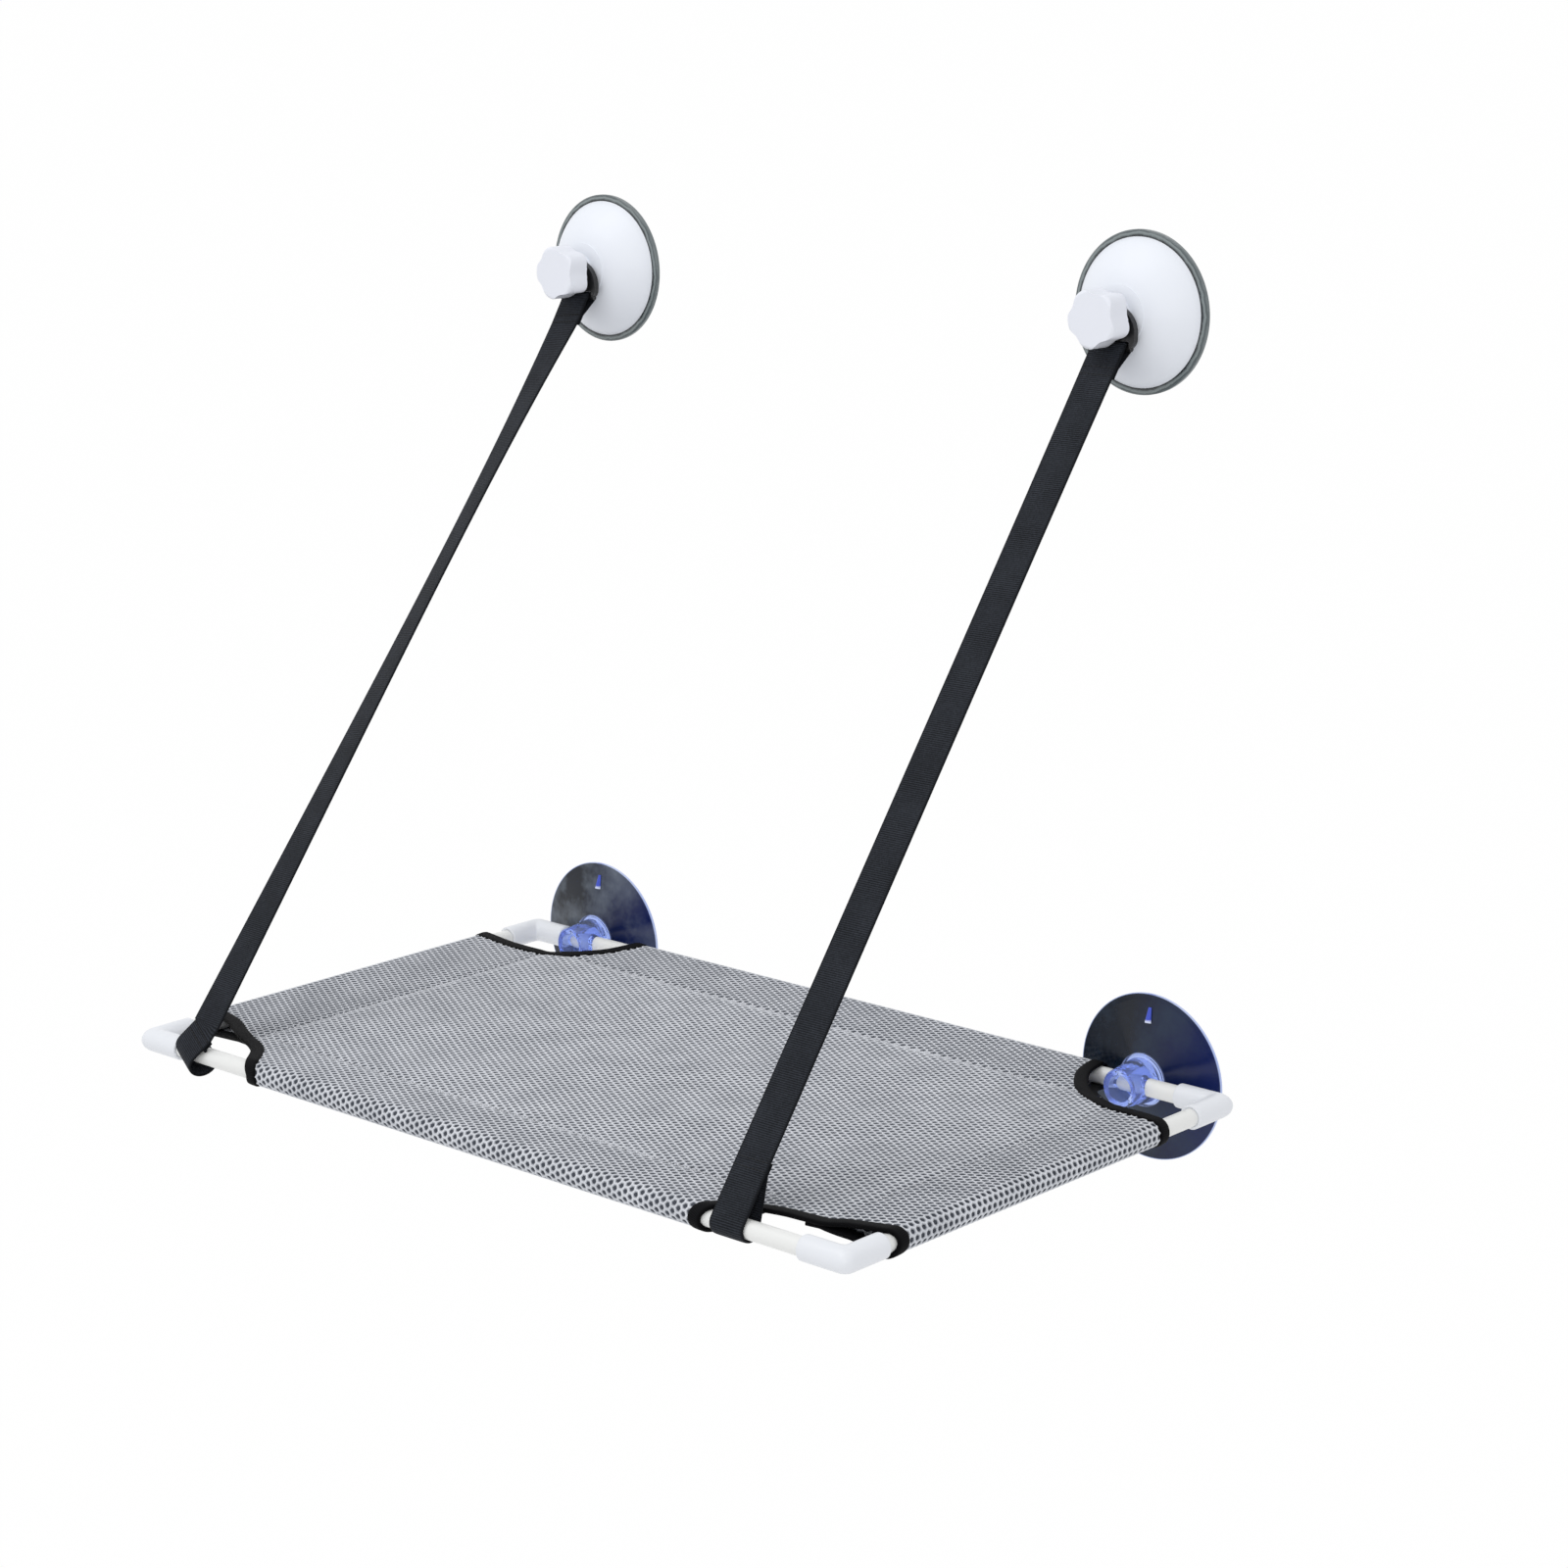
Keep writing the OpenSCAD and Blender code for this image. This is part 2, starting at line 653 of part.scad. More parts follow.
module lower_cup(x) {
    lip_w = 2.4;
    foot_r = neck_root_r + 3 * step;
    rim_r = (neck_tip_r + neck_recess_r) / 2;
    nub_place = lower_r * 0.76;
    nub_low = nub_place - nub_len / 2;
    nub_fall = atan2(bell_h(nub_low) - bell_h(nub_low + nub_len), nub_len);
    color(blue_vinyl) on_glass(x, 0) difference() {
        union() {
            rotate_extrude() polygon(concat(
                [[lower_r - lip_w, 0], [lower_r, 0], [lower_r, lower_lip_t]],
                [for (i = [1 : 9]) let (r = lower_r + (foot_r - lower_r) * i / 9) [r, bell_h(r)]],
                [[foot_r, lower_rise + step], [foot_r - step, lower_rise + step]],
                [[foot_r - step, lower_rise + 2 * step], [neck_root_r, lower_rise + 2 * step]],
                [[neck_tip_r, neck_tip - step], [neck_tip_r - step, neck_tip], [rim_r, neck_tip]],
                [[neck_recess_r, neck_tip - step], [neck_recess_r, recess_floor], [0, recess_floor]],
                [for (i = [0 : 7]) hollow_point(i / 8, lower_r - lip_w, lower_hollow)]
            ));
            translate([0, nub_low, bell_h(nub_low)]) rotate([-90 - nub_fall, 0, 0])
                cylinder(r1 = nub_r, r2 = nub_r / 2, h = nub_len);
        }
        translate([0, 0, tube_stand]) bar_along_x(tube_r + pivot_play, 2 * lower_r);
    }
}

left_knob_turn = 36;
right_knob_turn = 46;

cross_tube(-frame_d);  // front_tube
cross_tube(0);  // back_tube
side_tube(-side_x);  // left_tube
side_tube(side_x);  // right_tube
elbow(-1, -1);  // front_left_elbow
elbow(1, -1);  // front_right_elbow
elbow(-1, 1);  // back_left_elbow
elbow(1, 1);  // back_right_elbow
mesh_sling();
binding(-1, -1);  // front_left_binding
binding(1, -1);  // front_right_binding
binding(-1, 1);  // back_left_binding
binding(1, 1);  // back_right_binding
strap(left_strap_in - side_x, left_sewn_in - side_x, -upper_x, hanger_turn, slack, left_twist);  // left_strap
strap(side_x - right_strap_in, side_x - right_strap_in, upper_x, 0, 0, 0);  // right_strap
hanger(-upper_x, hanger_turn);  // left_hanger
hanger(upper_x, 0);  // right_hanger
knob(-upper_x, left_knob_turn);  // left_knob
knob(upper_x, right_knob_turn);  // right_knob
knob_nut(-upper_x, left_knob_turn);  // left_knob_nut
knob_nut(upper_x, right_knob_turn);  // right_knob_nut
washer(-upper_x);  // left_washer
washer(upper_x);  // right_washer
stud(-upper_x);  // left_stud
stud(upper_x);  // right_stud
dome(-upper_x);  // left_dome
dome(upper_x);  // right_dome
upper_cup(-upper_x);  // left_upper_cup
upper_cup(upper_x);  // right_upper_cup
lower_cup(-lower_x);  // left_lower_cup
lower_cup(lower_x);  // right_lower_cup
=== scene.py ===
import math

import bpy
import numpy as np
from mathutils import Matrix, Vector


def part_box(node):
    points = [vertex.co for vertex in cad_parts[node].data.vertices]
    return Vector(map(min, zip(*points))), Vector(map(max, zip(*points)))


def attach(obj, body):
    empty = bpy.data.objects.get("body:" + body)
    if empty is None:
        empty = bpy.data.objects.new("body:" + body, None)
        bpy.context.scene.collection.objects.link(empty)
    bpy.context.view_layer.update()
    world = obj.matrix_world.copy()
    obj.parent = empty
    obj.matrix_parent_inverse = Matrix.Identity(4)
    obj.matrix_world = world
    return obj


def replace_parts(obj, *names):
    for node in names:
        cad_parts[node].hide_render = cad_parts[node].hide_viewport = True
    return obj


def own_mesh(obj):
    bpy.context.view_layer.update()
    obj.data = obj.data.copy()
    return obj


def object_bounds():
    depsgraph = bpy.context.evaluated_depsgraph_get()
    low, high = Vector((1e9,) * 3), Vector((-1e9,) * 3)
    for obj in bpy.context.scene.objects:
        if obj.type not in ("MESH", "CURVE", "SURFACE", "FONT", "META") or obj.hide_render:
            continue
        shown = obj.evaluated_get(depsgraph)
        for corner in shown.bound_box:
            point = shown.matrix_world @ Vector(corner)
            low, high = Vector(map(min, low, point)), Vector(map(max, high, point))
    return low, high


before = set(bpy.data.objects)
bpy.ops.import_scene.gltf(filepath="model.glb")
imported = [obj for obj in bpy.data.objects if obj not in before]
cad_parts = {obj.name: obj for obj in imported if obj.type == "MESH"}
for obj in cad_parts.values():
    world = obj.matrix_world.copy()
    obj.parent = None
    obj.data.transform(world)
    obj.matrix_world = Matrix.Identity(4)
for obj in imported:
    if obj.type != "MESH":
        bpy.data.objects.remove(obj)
cad_low, cad_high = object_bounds()
MM = 0.001


# The studio. A long lens looks down on the perch from its right, between wide soft lamps,
# over a white floor that keeps a faint shadow.

CAMERA_PLACE = (1.325, -1.5102, 0.617)
CAMERA_YAW = 42.50
CAMERA_PITCH = 13.61
CAMERA_ROLL = -0.47
FOCAL_PIXELS = 3667.55
FRAME_PIXELS = 1600
SENSOR_MM = 36.0
FLOOR_DROP = 0.42
FLOOR_HALF = 300.0
DAYLIGHT = 0.80
WHITE_SHARE = 0.985
WHITE = (1, 1, 1, 1)


class Signal:
    """One output of a node. Sums, products and comparisons on it add Math nodes."""

    def __init__(self, nodes, socket):
        self.nodes = nodes
        self.socket = socket

    def maths(self, operation, first, second, clamp=False):
        """The outcome of a Math node on two values or signals."""
        settings = {"operation": operation, "use_clamp": clamp}
        return self.nodes.add("ShaderNodeMath", settings, {0: first, 1: second})

    def __add__(self, other):
        return self.maths("ADD", self, other)

    def __radd__(self, other):
        return self.maths("ADD", other, self)

    def __sub__(self, other):
        return self.maths("SUBTRACT", self, other)

    def __rsub__(self, other):
        return self.maths("SUBTRACT", other, self)

    def __mul__(self, other):
        return self.maths("MULTIPLY", self, other)

    def __rmul__(self, other):
        return self.maths("MULTIPLY", other, self)

    def __gt__(self, other):
        return self.maths("GREATER_THAN", self, other)

    def __lt__(self, other):
        return self.maths("LESS_THAN", self, other)

    def __abs__(self):
        return self.maths("ABSOLUTE", self, 0.0)

    def to_share(self):
        """The same value, held between 0 and 1."""
        return self.maths("ADD", self, 0.0, clamp=True)


class Nodes:
    """The node tree of a material or of the world, with one method that adds any node."""

    def __init__(self, owner):
        owner.use_nodes = True
        self.owner = owner
        self.tree = owner.node_tree

    def add(self, kind, settings=None, values=None, output=0):
        """Adds a node: its settings first, then the values or links of its sockets."""
        node = self.tree.nodes.new(kind)
        for name, value in (settings or {}).items():
            if name == "stops":
                for place, colour in value[2:]:
                    node.color_ramp.elements.new(place)
                for element, (place, colour) in zip(node.color_ramp.elements, value):
                    element.position = place
                    element.color = colour
            else:
                setattr(node, name, value)
        for name, value in (values or {}).items():
            self.feed(node.inputs[name], value)
        return Signal(self, node.outputs[output])

    def feed(self, socket, value):
        """Links a signal to a socket, or sets the socket's own value."""
        if isinstance(value, Signal):
            self.tree.links.new(value.socket, socket)
        else:
            socket.default_value = value

    def surface(self, values):
        """Sets sockets, by name, of the shader that a new material comes with."""
        shader = self.tree.nodes["Principled BSDF"]
        for name, value in values.items():
            self.feed(shader.inputs[name], value)
        return Signal(self, shader.outputs["BSDF"])

    def show(self, signal):
        """Sends a shader to the tree's output."""
        end = [n for n in self.tree.nodes if n.type in ("OUTPUT_MATERIAL", "OUTPUT_WORLD")][0]
        self.tree.links.new(signal.socket, end.inputs["Surface"])


def paint(red, green, blue):
    """A colour as it looks on screen, 0 to 255, turned into the linear light that shaders take."""
    screen = np.array([red, green, blue]) / 255
    linear = np.where(screen <= 0.04045, screen / 12.92, ((screen + 0.055) / 1.055) ** 2.4)
    return (*linear.tolist(), 1.0)


def seen_directly(nodes):
    """1 for rays from the camera and for those that a mirror or glass sends on, otherwise 0."""
    kinds = ("Is Camera Ray", "Is Glossy Ray", "Is Transmission Ray")
    camera_ray, glossy_ray, glass_ray = (nodes.add("ShaderNodeLightPath", output=k) for k in kinds)
    return (camera_ray + glossy_ray + glass_ray).to_share()


def softbox(name, place, size, power):
    """A square lamp that faces the middle of the perch."""
    lamp = bpy.data.lights.new(name, "AREA")
    lamp.size = size
    lamp.energy = power
    stand = bpy.data.objects.new(name, lamp)
    aim = (cad_low + cad_high) / 2 - Vector(place)
    turn = aim.to_track_quat("-Z", "Y").to_matrix().to_4x4()
    stand.matrix_world = Matrix.Translation(place) @ turn
    bpy.context.scene.collection.objects.link(stand)


camera_lens = bpy.data.cameras.new("camera")
camera_lens.sensor_width = SENSOR_MM
camera_lens.lens = SENSOR_MM * FOCAL_PIXELS / FRAME_PIXELS
camera = bpy.data.objects.new("camera", camera_lens)
camera.matrix_world = (
    Matrix.Translation(CAMERA_PLACE)
    @ Matrix.Rotation(math.radians(CAMERA_YAW), 4, "Z")
    @ Matrix.Rotation(math.radians(90 - CAMERA_PITCH), 4, "X")
    @ Matrix.Rotation(math.radians(CAMERA_ROLL), 4, "Z")
)
bpy.context.scene.collection.objects.link(camera)
bpy.context.scene.camera = camera
bpy.context.scene.view_settings.view_transform = "Standard"

softbox("overhead_lamp", place=(-0.5, -1.1, 2.1), size=1.6, power=12.0)
softbox("front_lamp", place=(1.5, -1.9, 0.9), size=1.2, power=5.0)

sky = Nodes(bpy.data.worlds.new("studio_light"))
bpy.context.scene.world = sky.owner
strength = DAYLIGHT + seen_directly(sky) * (1 - DAYLIGHT)
sky.show(sky.add("ShaderNodeBackground", None, {"Color": WHITE, "Strength": strength}))

floor_mesh = bpy.data.meshes.new("studio_floor")
floor_height = cad_low.z - FLOOR_DROP
floor_corners = [(x * FLOOR_HALF, y * FLOOR_HALF, floor_height)
                 for x, y in ((-1, -1), (1, -1), (1, 1), (-1, 1))]
floor_mesh.from_pydata(floor_corners, [], [(0, 1, 2, 3)])
studio_floor = bpy.data.objects.new("studio_floor", floor_mesh)
bpy.context.scene.collection.objects.link(studio_floor)
floor_paint = Nodes(bpy.data.materials.new("floor_paint"))
matt = floor_paint.add("ShaderNodeBsdfDiffuse", None, {"Color": paint(246, 246, 246)})
glow = floor_paint.add("ShaderNodeEmission", None, {"Color": WHITE})
share = seen_directly(floor_paint) * WHITE_SHARE
floor_paint.show(floor_paint.add("ShaderNodeMixShader", None, {0: share, 1: matt, 2: glow}))
floor_mesh.materials.append(floor_paint.owner)


# The tubes: four lengths of plain white plastic tube, cut square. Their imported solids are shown,
# in a satin plastic with a fine even grain.

CLOUD_SCALE = 26.0
GLOSS_DRIFT = 0.12


def noise(nodes, place, scale, detail):
    """Cloudy noise from 0 to 1, whose lumps are about as wide as one metre over its scale."""
    values = {"Vector": place, "Scale": scale, "Detail": detail}
    return nodes.add("ShaderNodeTexNoise", None, values)


def between(nodes, share, first, second):
    """A colour that goes from the first to the second as the share goes from 0 to 1."""
    values = {0: share, 6: first, 7: second}
    return nodes.add("ShaderNodeMix", {"data_type": "RGBA"}, values, output=2)


def bumps(nodes, strength, depth, height):
    """The normal of a surface that a height from 0 to 1 lifts by up to the depth in metres."""
    values = {"Strength": strength, "Distance": depth, "Height": height}
    return nodes.add("ShaderNodeBump", None, values)


def plastic(name, colour, roughness, mottle, grain_size, grain_depth, coat=0.0):
    """A moulded plastic: its colour drifts by mottle, and a fine grain breaks its gloss."""
    nodes = Nodes(bpy.data.materials.new(name))
    place = nodes.add("ShaderNodeTexCoord", output="Object")
    cloud = noise(nodes, place, scale=CLOUD_SCALE, detail=4.0)
    grain = noise(nodes, place, scale=1 / grain_size, detail=2.0)
    dark = tuple(c * (1 - mottle) for c in colour[:3]) + (1.0,)
    nodes.surface({
        "Base Color": between(nodes, cloud, dark, colour),
        "Roughness": roughness + (cloud - 0.5) * GLOSS_DRIFT,
        "Normal": bumps(nodes, strength=0.5, depth=grain_depth, height=grain),
        "Coat Weight": coat,
        "Coat Roughness": 0.12,
    })
    return nodes.owner


def dress(node, material):
    """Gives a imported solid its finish."""
    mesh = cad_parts[node].data
    mesh.materials.clear()
    mesh.materials.append(material)


tube_plastic = plastic("tube_plastic", paint(238, 239, 238), roughness=0.34, mottle=0.05,
                       grain_size=0.0009, grain_depth=0.00003)
for side in ("front", "back", "left", "right"):
    dress(f"{side}_tube", tube_plastic)

front_low, front_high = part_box("front_tube")
back_low, back_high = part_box("back_tube")
left_low, left_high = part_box("left_tube")
right_low, right_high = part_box("right_tube")
TUBE_R = (front_high.z - front_low.z) / 2
FRONT_Y = (front_low.y + front_high.y) / 2
BACK_Y = (back_low.y + back_high.y) / 2
LEFT_X = (left_low.x + left_high.x) / 2
RIGHT_X = (right_low.x + right_high.x) / 2


# The elbows: white corner mouldings with a round outer corner, pushed over the tubes' ends.
# Each is one skin: a round section that follows the corner, rounder outside than inside.

ELBOW_WALL_IN = 0.05 * MM
ELBOW_OUTER_R = 5.5 * MM
ELBOW_INNER_R = 1.2 * MM
ELBOW_MOUTH_ROUND = 0.9 * MM
ELBOW_MOUTH_BEVEL = 0.3 * MM
ELBOW_LIP_DEPTH = 2.0 * MM
ELBOW_SIDES = 48
MOUTH_STEPS = 6
LEG_STEPS = 8
ARC_STEPS = 14


def ring_faces(rings, sides):
    """Four-sided faces of a tube of rings, whose points are numbered ring by ring."""
    ring = np.arange(rings - 1)[:, None] * sides
    side = np.arange(sides)[None, :]
    after = (side + 1) % sides
    corners = (ring + side, ring + after, ring + sides + after, ring + sides + side)
    return np.stack(np.broadcast_arrays(*corners), axis=-1).reshape(-1, 4)


def make_piece(name, points, faces, material, slot, uv=None, normals=None):
    """A smooth mesh from arrays. A closed skin whose faces point inwards, by its signed volume, is
    turned."""
    points = np.asarray(points, float).reshape(-1, 3)
    a, b, c, d = (points[faces[:, k]] for k in range(4))
    volume = (np.cross(b - a, c - a) * a).sum() + (np.cross(c - a, d - a) * a).sum()
    if volume < 0:
        faces = faces[:, ::-1]
    mesh = bpy.data.meshes.new(name)
    mesh.from_pydata(points.tolist(), [], faces.tolist())
    mesh.materials.append(material)
    if uv is not None:
        corner = np.empty(len(mesh.loops), np.int32)
        mesh.loops.foreach_get("vertex_index", corner)
        layer = mesh.uv_layers.new(name="length_width")
        layer.data.foreach_set("uv", np.asarray(uv, np.float32).reshape(-1, 2)[corner].ravel())
    mesh.polygons.foreach_set("use_smooth", np.ones(len(mesh.polygons), bool))
    if normals is not None:
        mesh.normals_split_custom_set_from_vertices(normals.reshape(-1, 3).tolist())
    piece = bpy.data.objects.new(name, mesh)
    bpy.context.scene.collection.objects.link(piece)
    return piece


def elbow_skin(corner_x, corner_y, to_x, to_y, radius, reach):
    """Two straight legs and an arc: at the angle a round the section the line lies radius cos(a)
    outside the axes, and its arc's radius goes from the outer corner's to the inner corner's."""
    around = np.linspace(0, 2 * np.pi, ELBOW_SIDES, endpoint=False)
    bore = TUBE_R + ELBOW_WALL_IN
    curl = np.linspace(0, np.pi / 2, MOUTH_STEPS)
    mouth_r = radius - ELBOW_MOUTH_ROUND * (1 - np.sin(curl))
    mouth_x = reach - ELBOW_MOUTH_ROUND * (1 - np.cos(curl))
    section = np.concatenate([[bore, bore, bore + ELBOW_MOUTH_BEVEL], mouth_r])
    inside_x = [reach - ELBOW_LIP_DEPTH, reach - ELBOW_MOUTH_BEVEL, reach]
    along = np.concatenate([inside_x, mouth_x])
    leg_steps = np.linspace(0, 1, LEG_STEPS)[1:]
    arc_steps = np.linspace(0, 1, ARC_STEPS)[1:-1]
    radii = np.concatenate([section, np.full(len(leg_steps), radius)])
    out = radii[:, None] * np.cos(around)
    high = radii[:, None] * np.sin(around)
    fillet = ELBOW_INNER_R + (ELBOW_OUTER_R - ELBOW_INNER_R) * (1 + np.cos(around)) / 2
    arc_start = fillet - radius * np.cos(around)
    x_leg = along[-1] + (arc_start[None, :] - along[-1]) * leg_steps[:, None]
    x = np.concatenate([np.repeat(along[:, None], len(around), axis=1), x_leg])
    y = -out
    turn = arc_steps[:, None] * np.pi / 2
    x_arc = arc_start - fillet * np.sin(turn)
    y_arc = arc_start - fillet * np.cos(turn)
    z_arc = np.broadcast_to(radius * np.sin(around), x_arc.shape)
    xs = np.concatenate([x, x_arc, y[::-1]])
    ys = np.concatenate([y, y_arc, x[::-1]])
    zs = np.concatenate([high, z_arc, high[::-1]])
    points = np.stack([corner_x + to_x * xs, corner_y + to_y * ys, zs], axis=-1)
    return points, ring_faces(len(xs), len(around))


elbow_plastic = plastic("elbow_plastic", paint(234, 237, 243), roughness=0.42, mottle=0.06,
                        grain_size=0.0007, grain_depth=0.00004, coat=0.15)
for side_x, corner_x, to_x in (("left", LEFT_X, 1), ("right", RIGHT_X, -1)):
    for side_y, corner_y, to_y in (("front", FRONT_Y, 1), ("back", BACK_Y, -1)):
        node = f"{side_y}_{side_x}_elbow"
        low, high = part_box(node)
        radius = (high.z - low.z) / 2
        reach = high.x - low.x - radius
        points, faces = elbow_skin(corner_x, corner_y, to_x, to_y, radius, reach)
        elbow = make_piece(f"{node}_moulding", points, faces, elbow_plastic, "elbow_plastic")
        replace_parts(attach(elbow, "platform"), node)


# The sling: one sheet of warp-knitted mesh, drawn over the four tubes and sewn back on itself
# below, so that each edge is a sleeve. Its holes stand in staggered columns, over an inner ply
# that is painted dark as the shade in the holes. The net is made in three panels that meet edge
# to edge.

WALE = 3.66 * MM
COURSE = 4.2 * MM
YARN_HALF = 0.62 * MM
HOLE_R = 1.23 * MM
BAND_OPEN = {"left": 1.29, "right": 1.29, "front": 1.17, "back": 1.29}
PLY_HALF = 0.08 * MM
PACKED_HALF = 1.0 * MM
FRONT_BAND = 32 * MM
BACK_BAND = 45 * MM
LEFT_BAND = 57 * MM
RIGHT_BAND = 31 * MM
FLAP_GAP = 0.1 * MM
HEM_TAIL = 4 * MM
SAG = 1.6 * MM
WAVE = 0.35 * MM
SEAM_DIP = 0.55 * MM
SEAM_DIP_WIDTH = 2.6 * MM
TAPE_TAIL = 6 * MM
KNOT_STEPS = 8
HEM_STEPS = 6
SAME_POINT = 0.01 * MM

CLOTH_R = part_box("mesh_sling")[1].z - PACKED_HALF
MIDDLE_X = (LEFT_X + RIGHT_X) / 2
MIDDLE_Y = (FRONT_Y + BACK_Y) / 2

# Each edge: the axis that it crosses, the tube's place, the way out, and the seam's distance
EDGES = {
    "left": (0, LEFT_X, -1, LEFT_BAND),
    "right": (0, RIGHT_X, 1, RIGHT_BAND),
    "front": (1, FRONT_Y, -1, FRONT_BAND),
    "back": (1, BACK_Y, 1, BACK_BAND),
}


def sleeve_run(band):
    """The angle that cloth turns round a tube, down to the lower tangent, and the length that it
    then runs straight back up to a seam at the distance band."""
    seam_z = CLOTH_R - 2 * YARN_HALF - FLAP_GAP
    far = math.hypot(band, seam_z)
    release = 2 * np.pi - math.atan2(band, seam_z) - math.acos(CLOTH_R / far)
    return release, math.sqrt(far ** 2 - CLOTH_R ** 2)


def flap_length(band):
    """Length of cloth from the top of a tube, round it and back to the end of the flap's hem."""
    release, run = sleeve_run(band)
    return CLOTH_R * release + run + HEM_TAIL


def sleeve(past, band):
    """Where cloth lies that has gone the distance past beyond a tube's top: round the tube, back to
    the seam, and level beyond it. Gives the way out, the height and both parts of the normal."""
    release, run = sleeve_run(band)
    angle = np.clip(past / CLOTH_R, 0, release)
    rest = np.maximum(past - CLOTH_R * release, 0)
    climb = np.minimum(rest, run)
    level = rest - climb
    out = CLOTH_R * np.sin(angle) + climb * math.cos(release) - level
    high = CLOTH_R * np.cos(angle) - climb * math.sin(release)
    flat = level > 0
    normal_out = np.where(flat, 0.0, np.sin(angle))
    normal_high = np.where(flat, -1.0, np.cos(angle))
    return out, high, normal_out, normal_high


def relief(x, y):
    """Height of the stretched sheet over its plane: a shallow sag, slack waves that are the product
    of two wandering sines, and a dip at the seams. It fades to nothing at the tubes."""
    u = np.clip((x - LEFT_X) / (RIGHT_X - LEFT_X), 0, 1)
    v = np.clip((y - FRONT_Y) / (BACK_Y - FRONT_Y), 0, 1)
    bowl = 16 * u * (1 - u) * v * (1 - v)
    waves = np.sin(31 * x + 2.2 * np.sin(17 * y)) * np.sin(43 * y + 1.3 * np.sin(23 * x))
    height = -SAG * bowl + WAVE * waves * np.sqrt(bowl)
    for axis, tube, way, band in EDGES.values():
        from_seam = (tube - way * band) - (x, y)[axis]
        dip = np.exp(-(from_seam / SEAM_DIP_WIDTH) ** 2)
        height = height - SEAM_DIP * dip * np.minimum(1, 4 * bowl)
    return height


def drape(x, y, lift):
    """Takes a place on the flat cloth, in the plane of the sheet, and a height over it to the hung
    cloth: level between the tubes, and down the sleeve's path beyond a tube."""
    place = np.stack([x, y, CLOTH_R + relief(x, y)], axis=-1)
    normal = np.zeros_like(place)
    normal[..., 2] = 1
    for axis, tube, way, band in EDGES.values():
        past = ((x, y)[axis] - tube) * way
        out, high, normal_out, normal_high = sleeve(past, band)
        beyond = past > 0
        place[..., axis] = np.where(beyond, tube + way * out, place[..., axis])
        place[..., 2] = np.where(beyond, high, place[..., 2])
        normal[..., axis] = np.where(beyond, way * normal_out, normal[..., axis])
        normal[..., 2] = np.where(beyond, normal_high, normal[..., 2])
    return place + normal * lift[..., None]


# Middle line of the tape round each corner's cut-out on the flat cloth, as distances in from the
# side tube's axis and from the front or back tube's axis. Less than zero lies past a tube: on the
# flap, whose cut runs back below the sheet as the upper one does above it.
CUT_LINES = {
    ("left", "front"): [
        (69, -50), (72, -40), (79, -30), (88, -21), (93, -11), (90, -4), (84, 4), (76, 12.5),
        (67, 18), (56, 22.5), (42, 29), (23, 38.5), (4, 43), (-12, 44), (-24, 42), (-40, 37),
        (-58, 31), (-74, 26),
    ],
    ("right", "front"): [
        (72, -50), (77, -40), (84, -30), (90, -21), (93, -11), (89, -1), (79, 9), (66, 14.5),
        (53, 17.8), (40, 19), (29, 20.6), (21, 25.8), (11, 29.6), (3, 32), (-4, 34.5), (-10, 35),
        (-16, 33), (-22, 30.5), (-30, 29.5), (-38, 27.5), (-46, 23.5), (-52, 21),
    ],
    ("left", "back"): [
        (66, -64), (74, -54), (83, -38), (89, -22), (90, -8), (88, 8), (82, 27), (63, 47), (32, 50),
        (2, 46), (-14, 45), (-30, 46), (-50, 49), (-74, 50),
    ],
    ("right", "back"): [
        (48, -64), (60, -54), (72, -38), (79, -22), (82, -8), (81, 6), (75, 22), (59, 41), (35, 53),
        (11, 55), (-8, 57), (-24, 57), (-40, 56), (-50, 55),
    ],
}


def smooth_line(knots):
    """A line through the knots, whose direction at a knot is that from the one before to the one
    after: the cubic Hermite of each pair."""
    ends = np.concatenate([[2 * knots[0] - knots[1]], knots, [2 * knots[-1] - knots[-2]]])
    slope = (ends[2:] - ends[:-2]) / 2
    t = np.linspace(0, 1, KNOT_STEPS, endpoint=False)[:, None]
    rise = t * t * (3 - 2 * t)
    pairs = zip(knots[:-1], knots[1:], slope[:-1], slope[1:])
    parts = [a + (b - a) * rise + m * (t - 2 * t ** 2 + t ** 3) + n * (t ** 3 - t ** 2)
             for a, b, m, n in pairs]
    return np.concatenate(parts + [knots[-1:]])


def cut_line(side, end):
    """The tape's middle line on the flat cloth, from the front or back flap's hem to the side
    flap's."""
    tube_x, way_x, band_x = EDGES[side][1:]
    tube_y, way_y, band_y = EDGES[end][1:]
    knots = np.array(CUT_LINES[side, end]) * MM
    first = [knots[0, 0], -flap_length(band_y) - TAPE_TAIL]
    last = [-flap_length(band_x) - TAPE_TAIL, knots[-1, 1]]
    run_in = np.linspace(first, knots[0], HEM_STEPS, endpoint=False)
    run_out = np.linspace(knots[-1], last, HEM_STEPS + 1)[1:]
    line = np.concatenate([run_in, smooth_line(knots), run_out])
    return np.stack([tube_x - way_x * line[:, 0], tube_y - way_y * line[:, 1]], axis=-1)


def inside(x, y, outline):
    """Whether points lie in an outline: a ray to the right crosses an odd number of its edges."""
    x0, y0 = outline[:, 0], outline[:, 1]
    x1, y1 = np.roll(x0, -1), np.roll(y0, -1)
    spans = (y0 > y[:, None]) != (y1 > y[:, None])
    drop = np.where(y1 == y0, 1, y1 - y0)
    crossing = x0 + (y[:, None] - y0) / drop * (x1 - x0)
    return (spans & (x[:, None] < crossing)).sum(axis=1) % 2 == 1


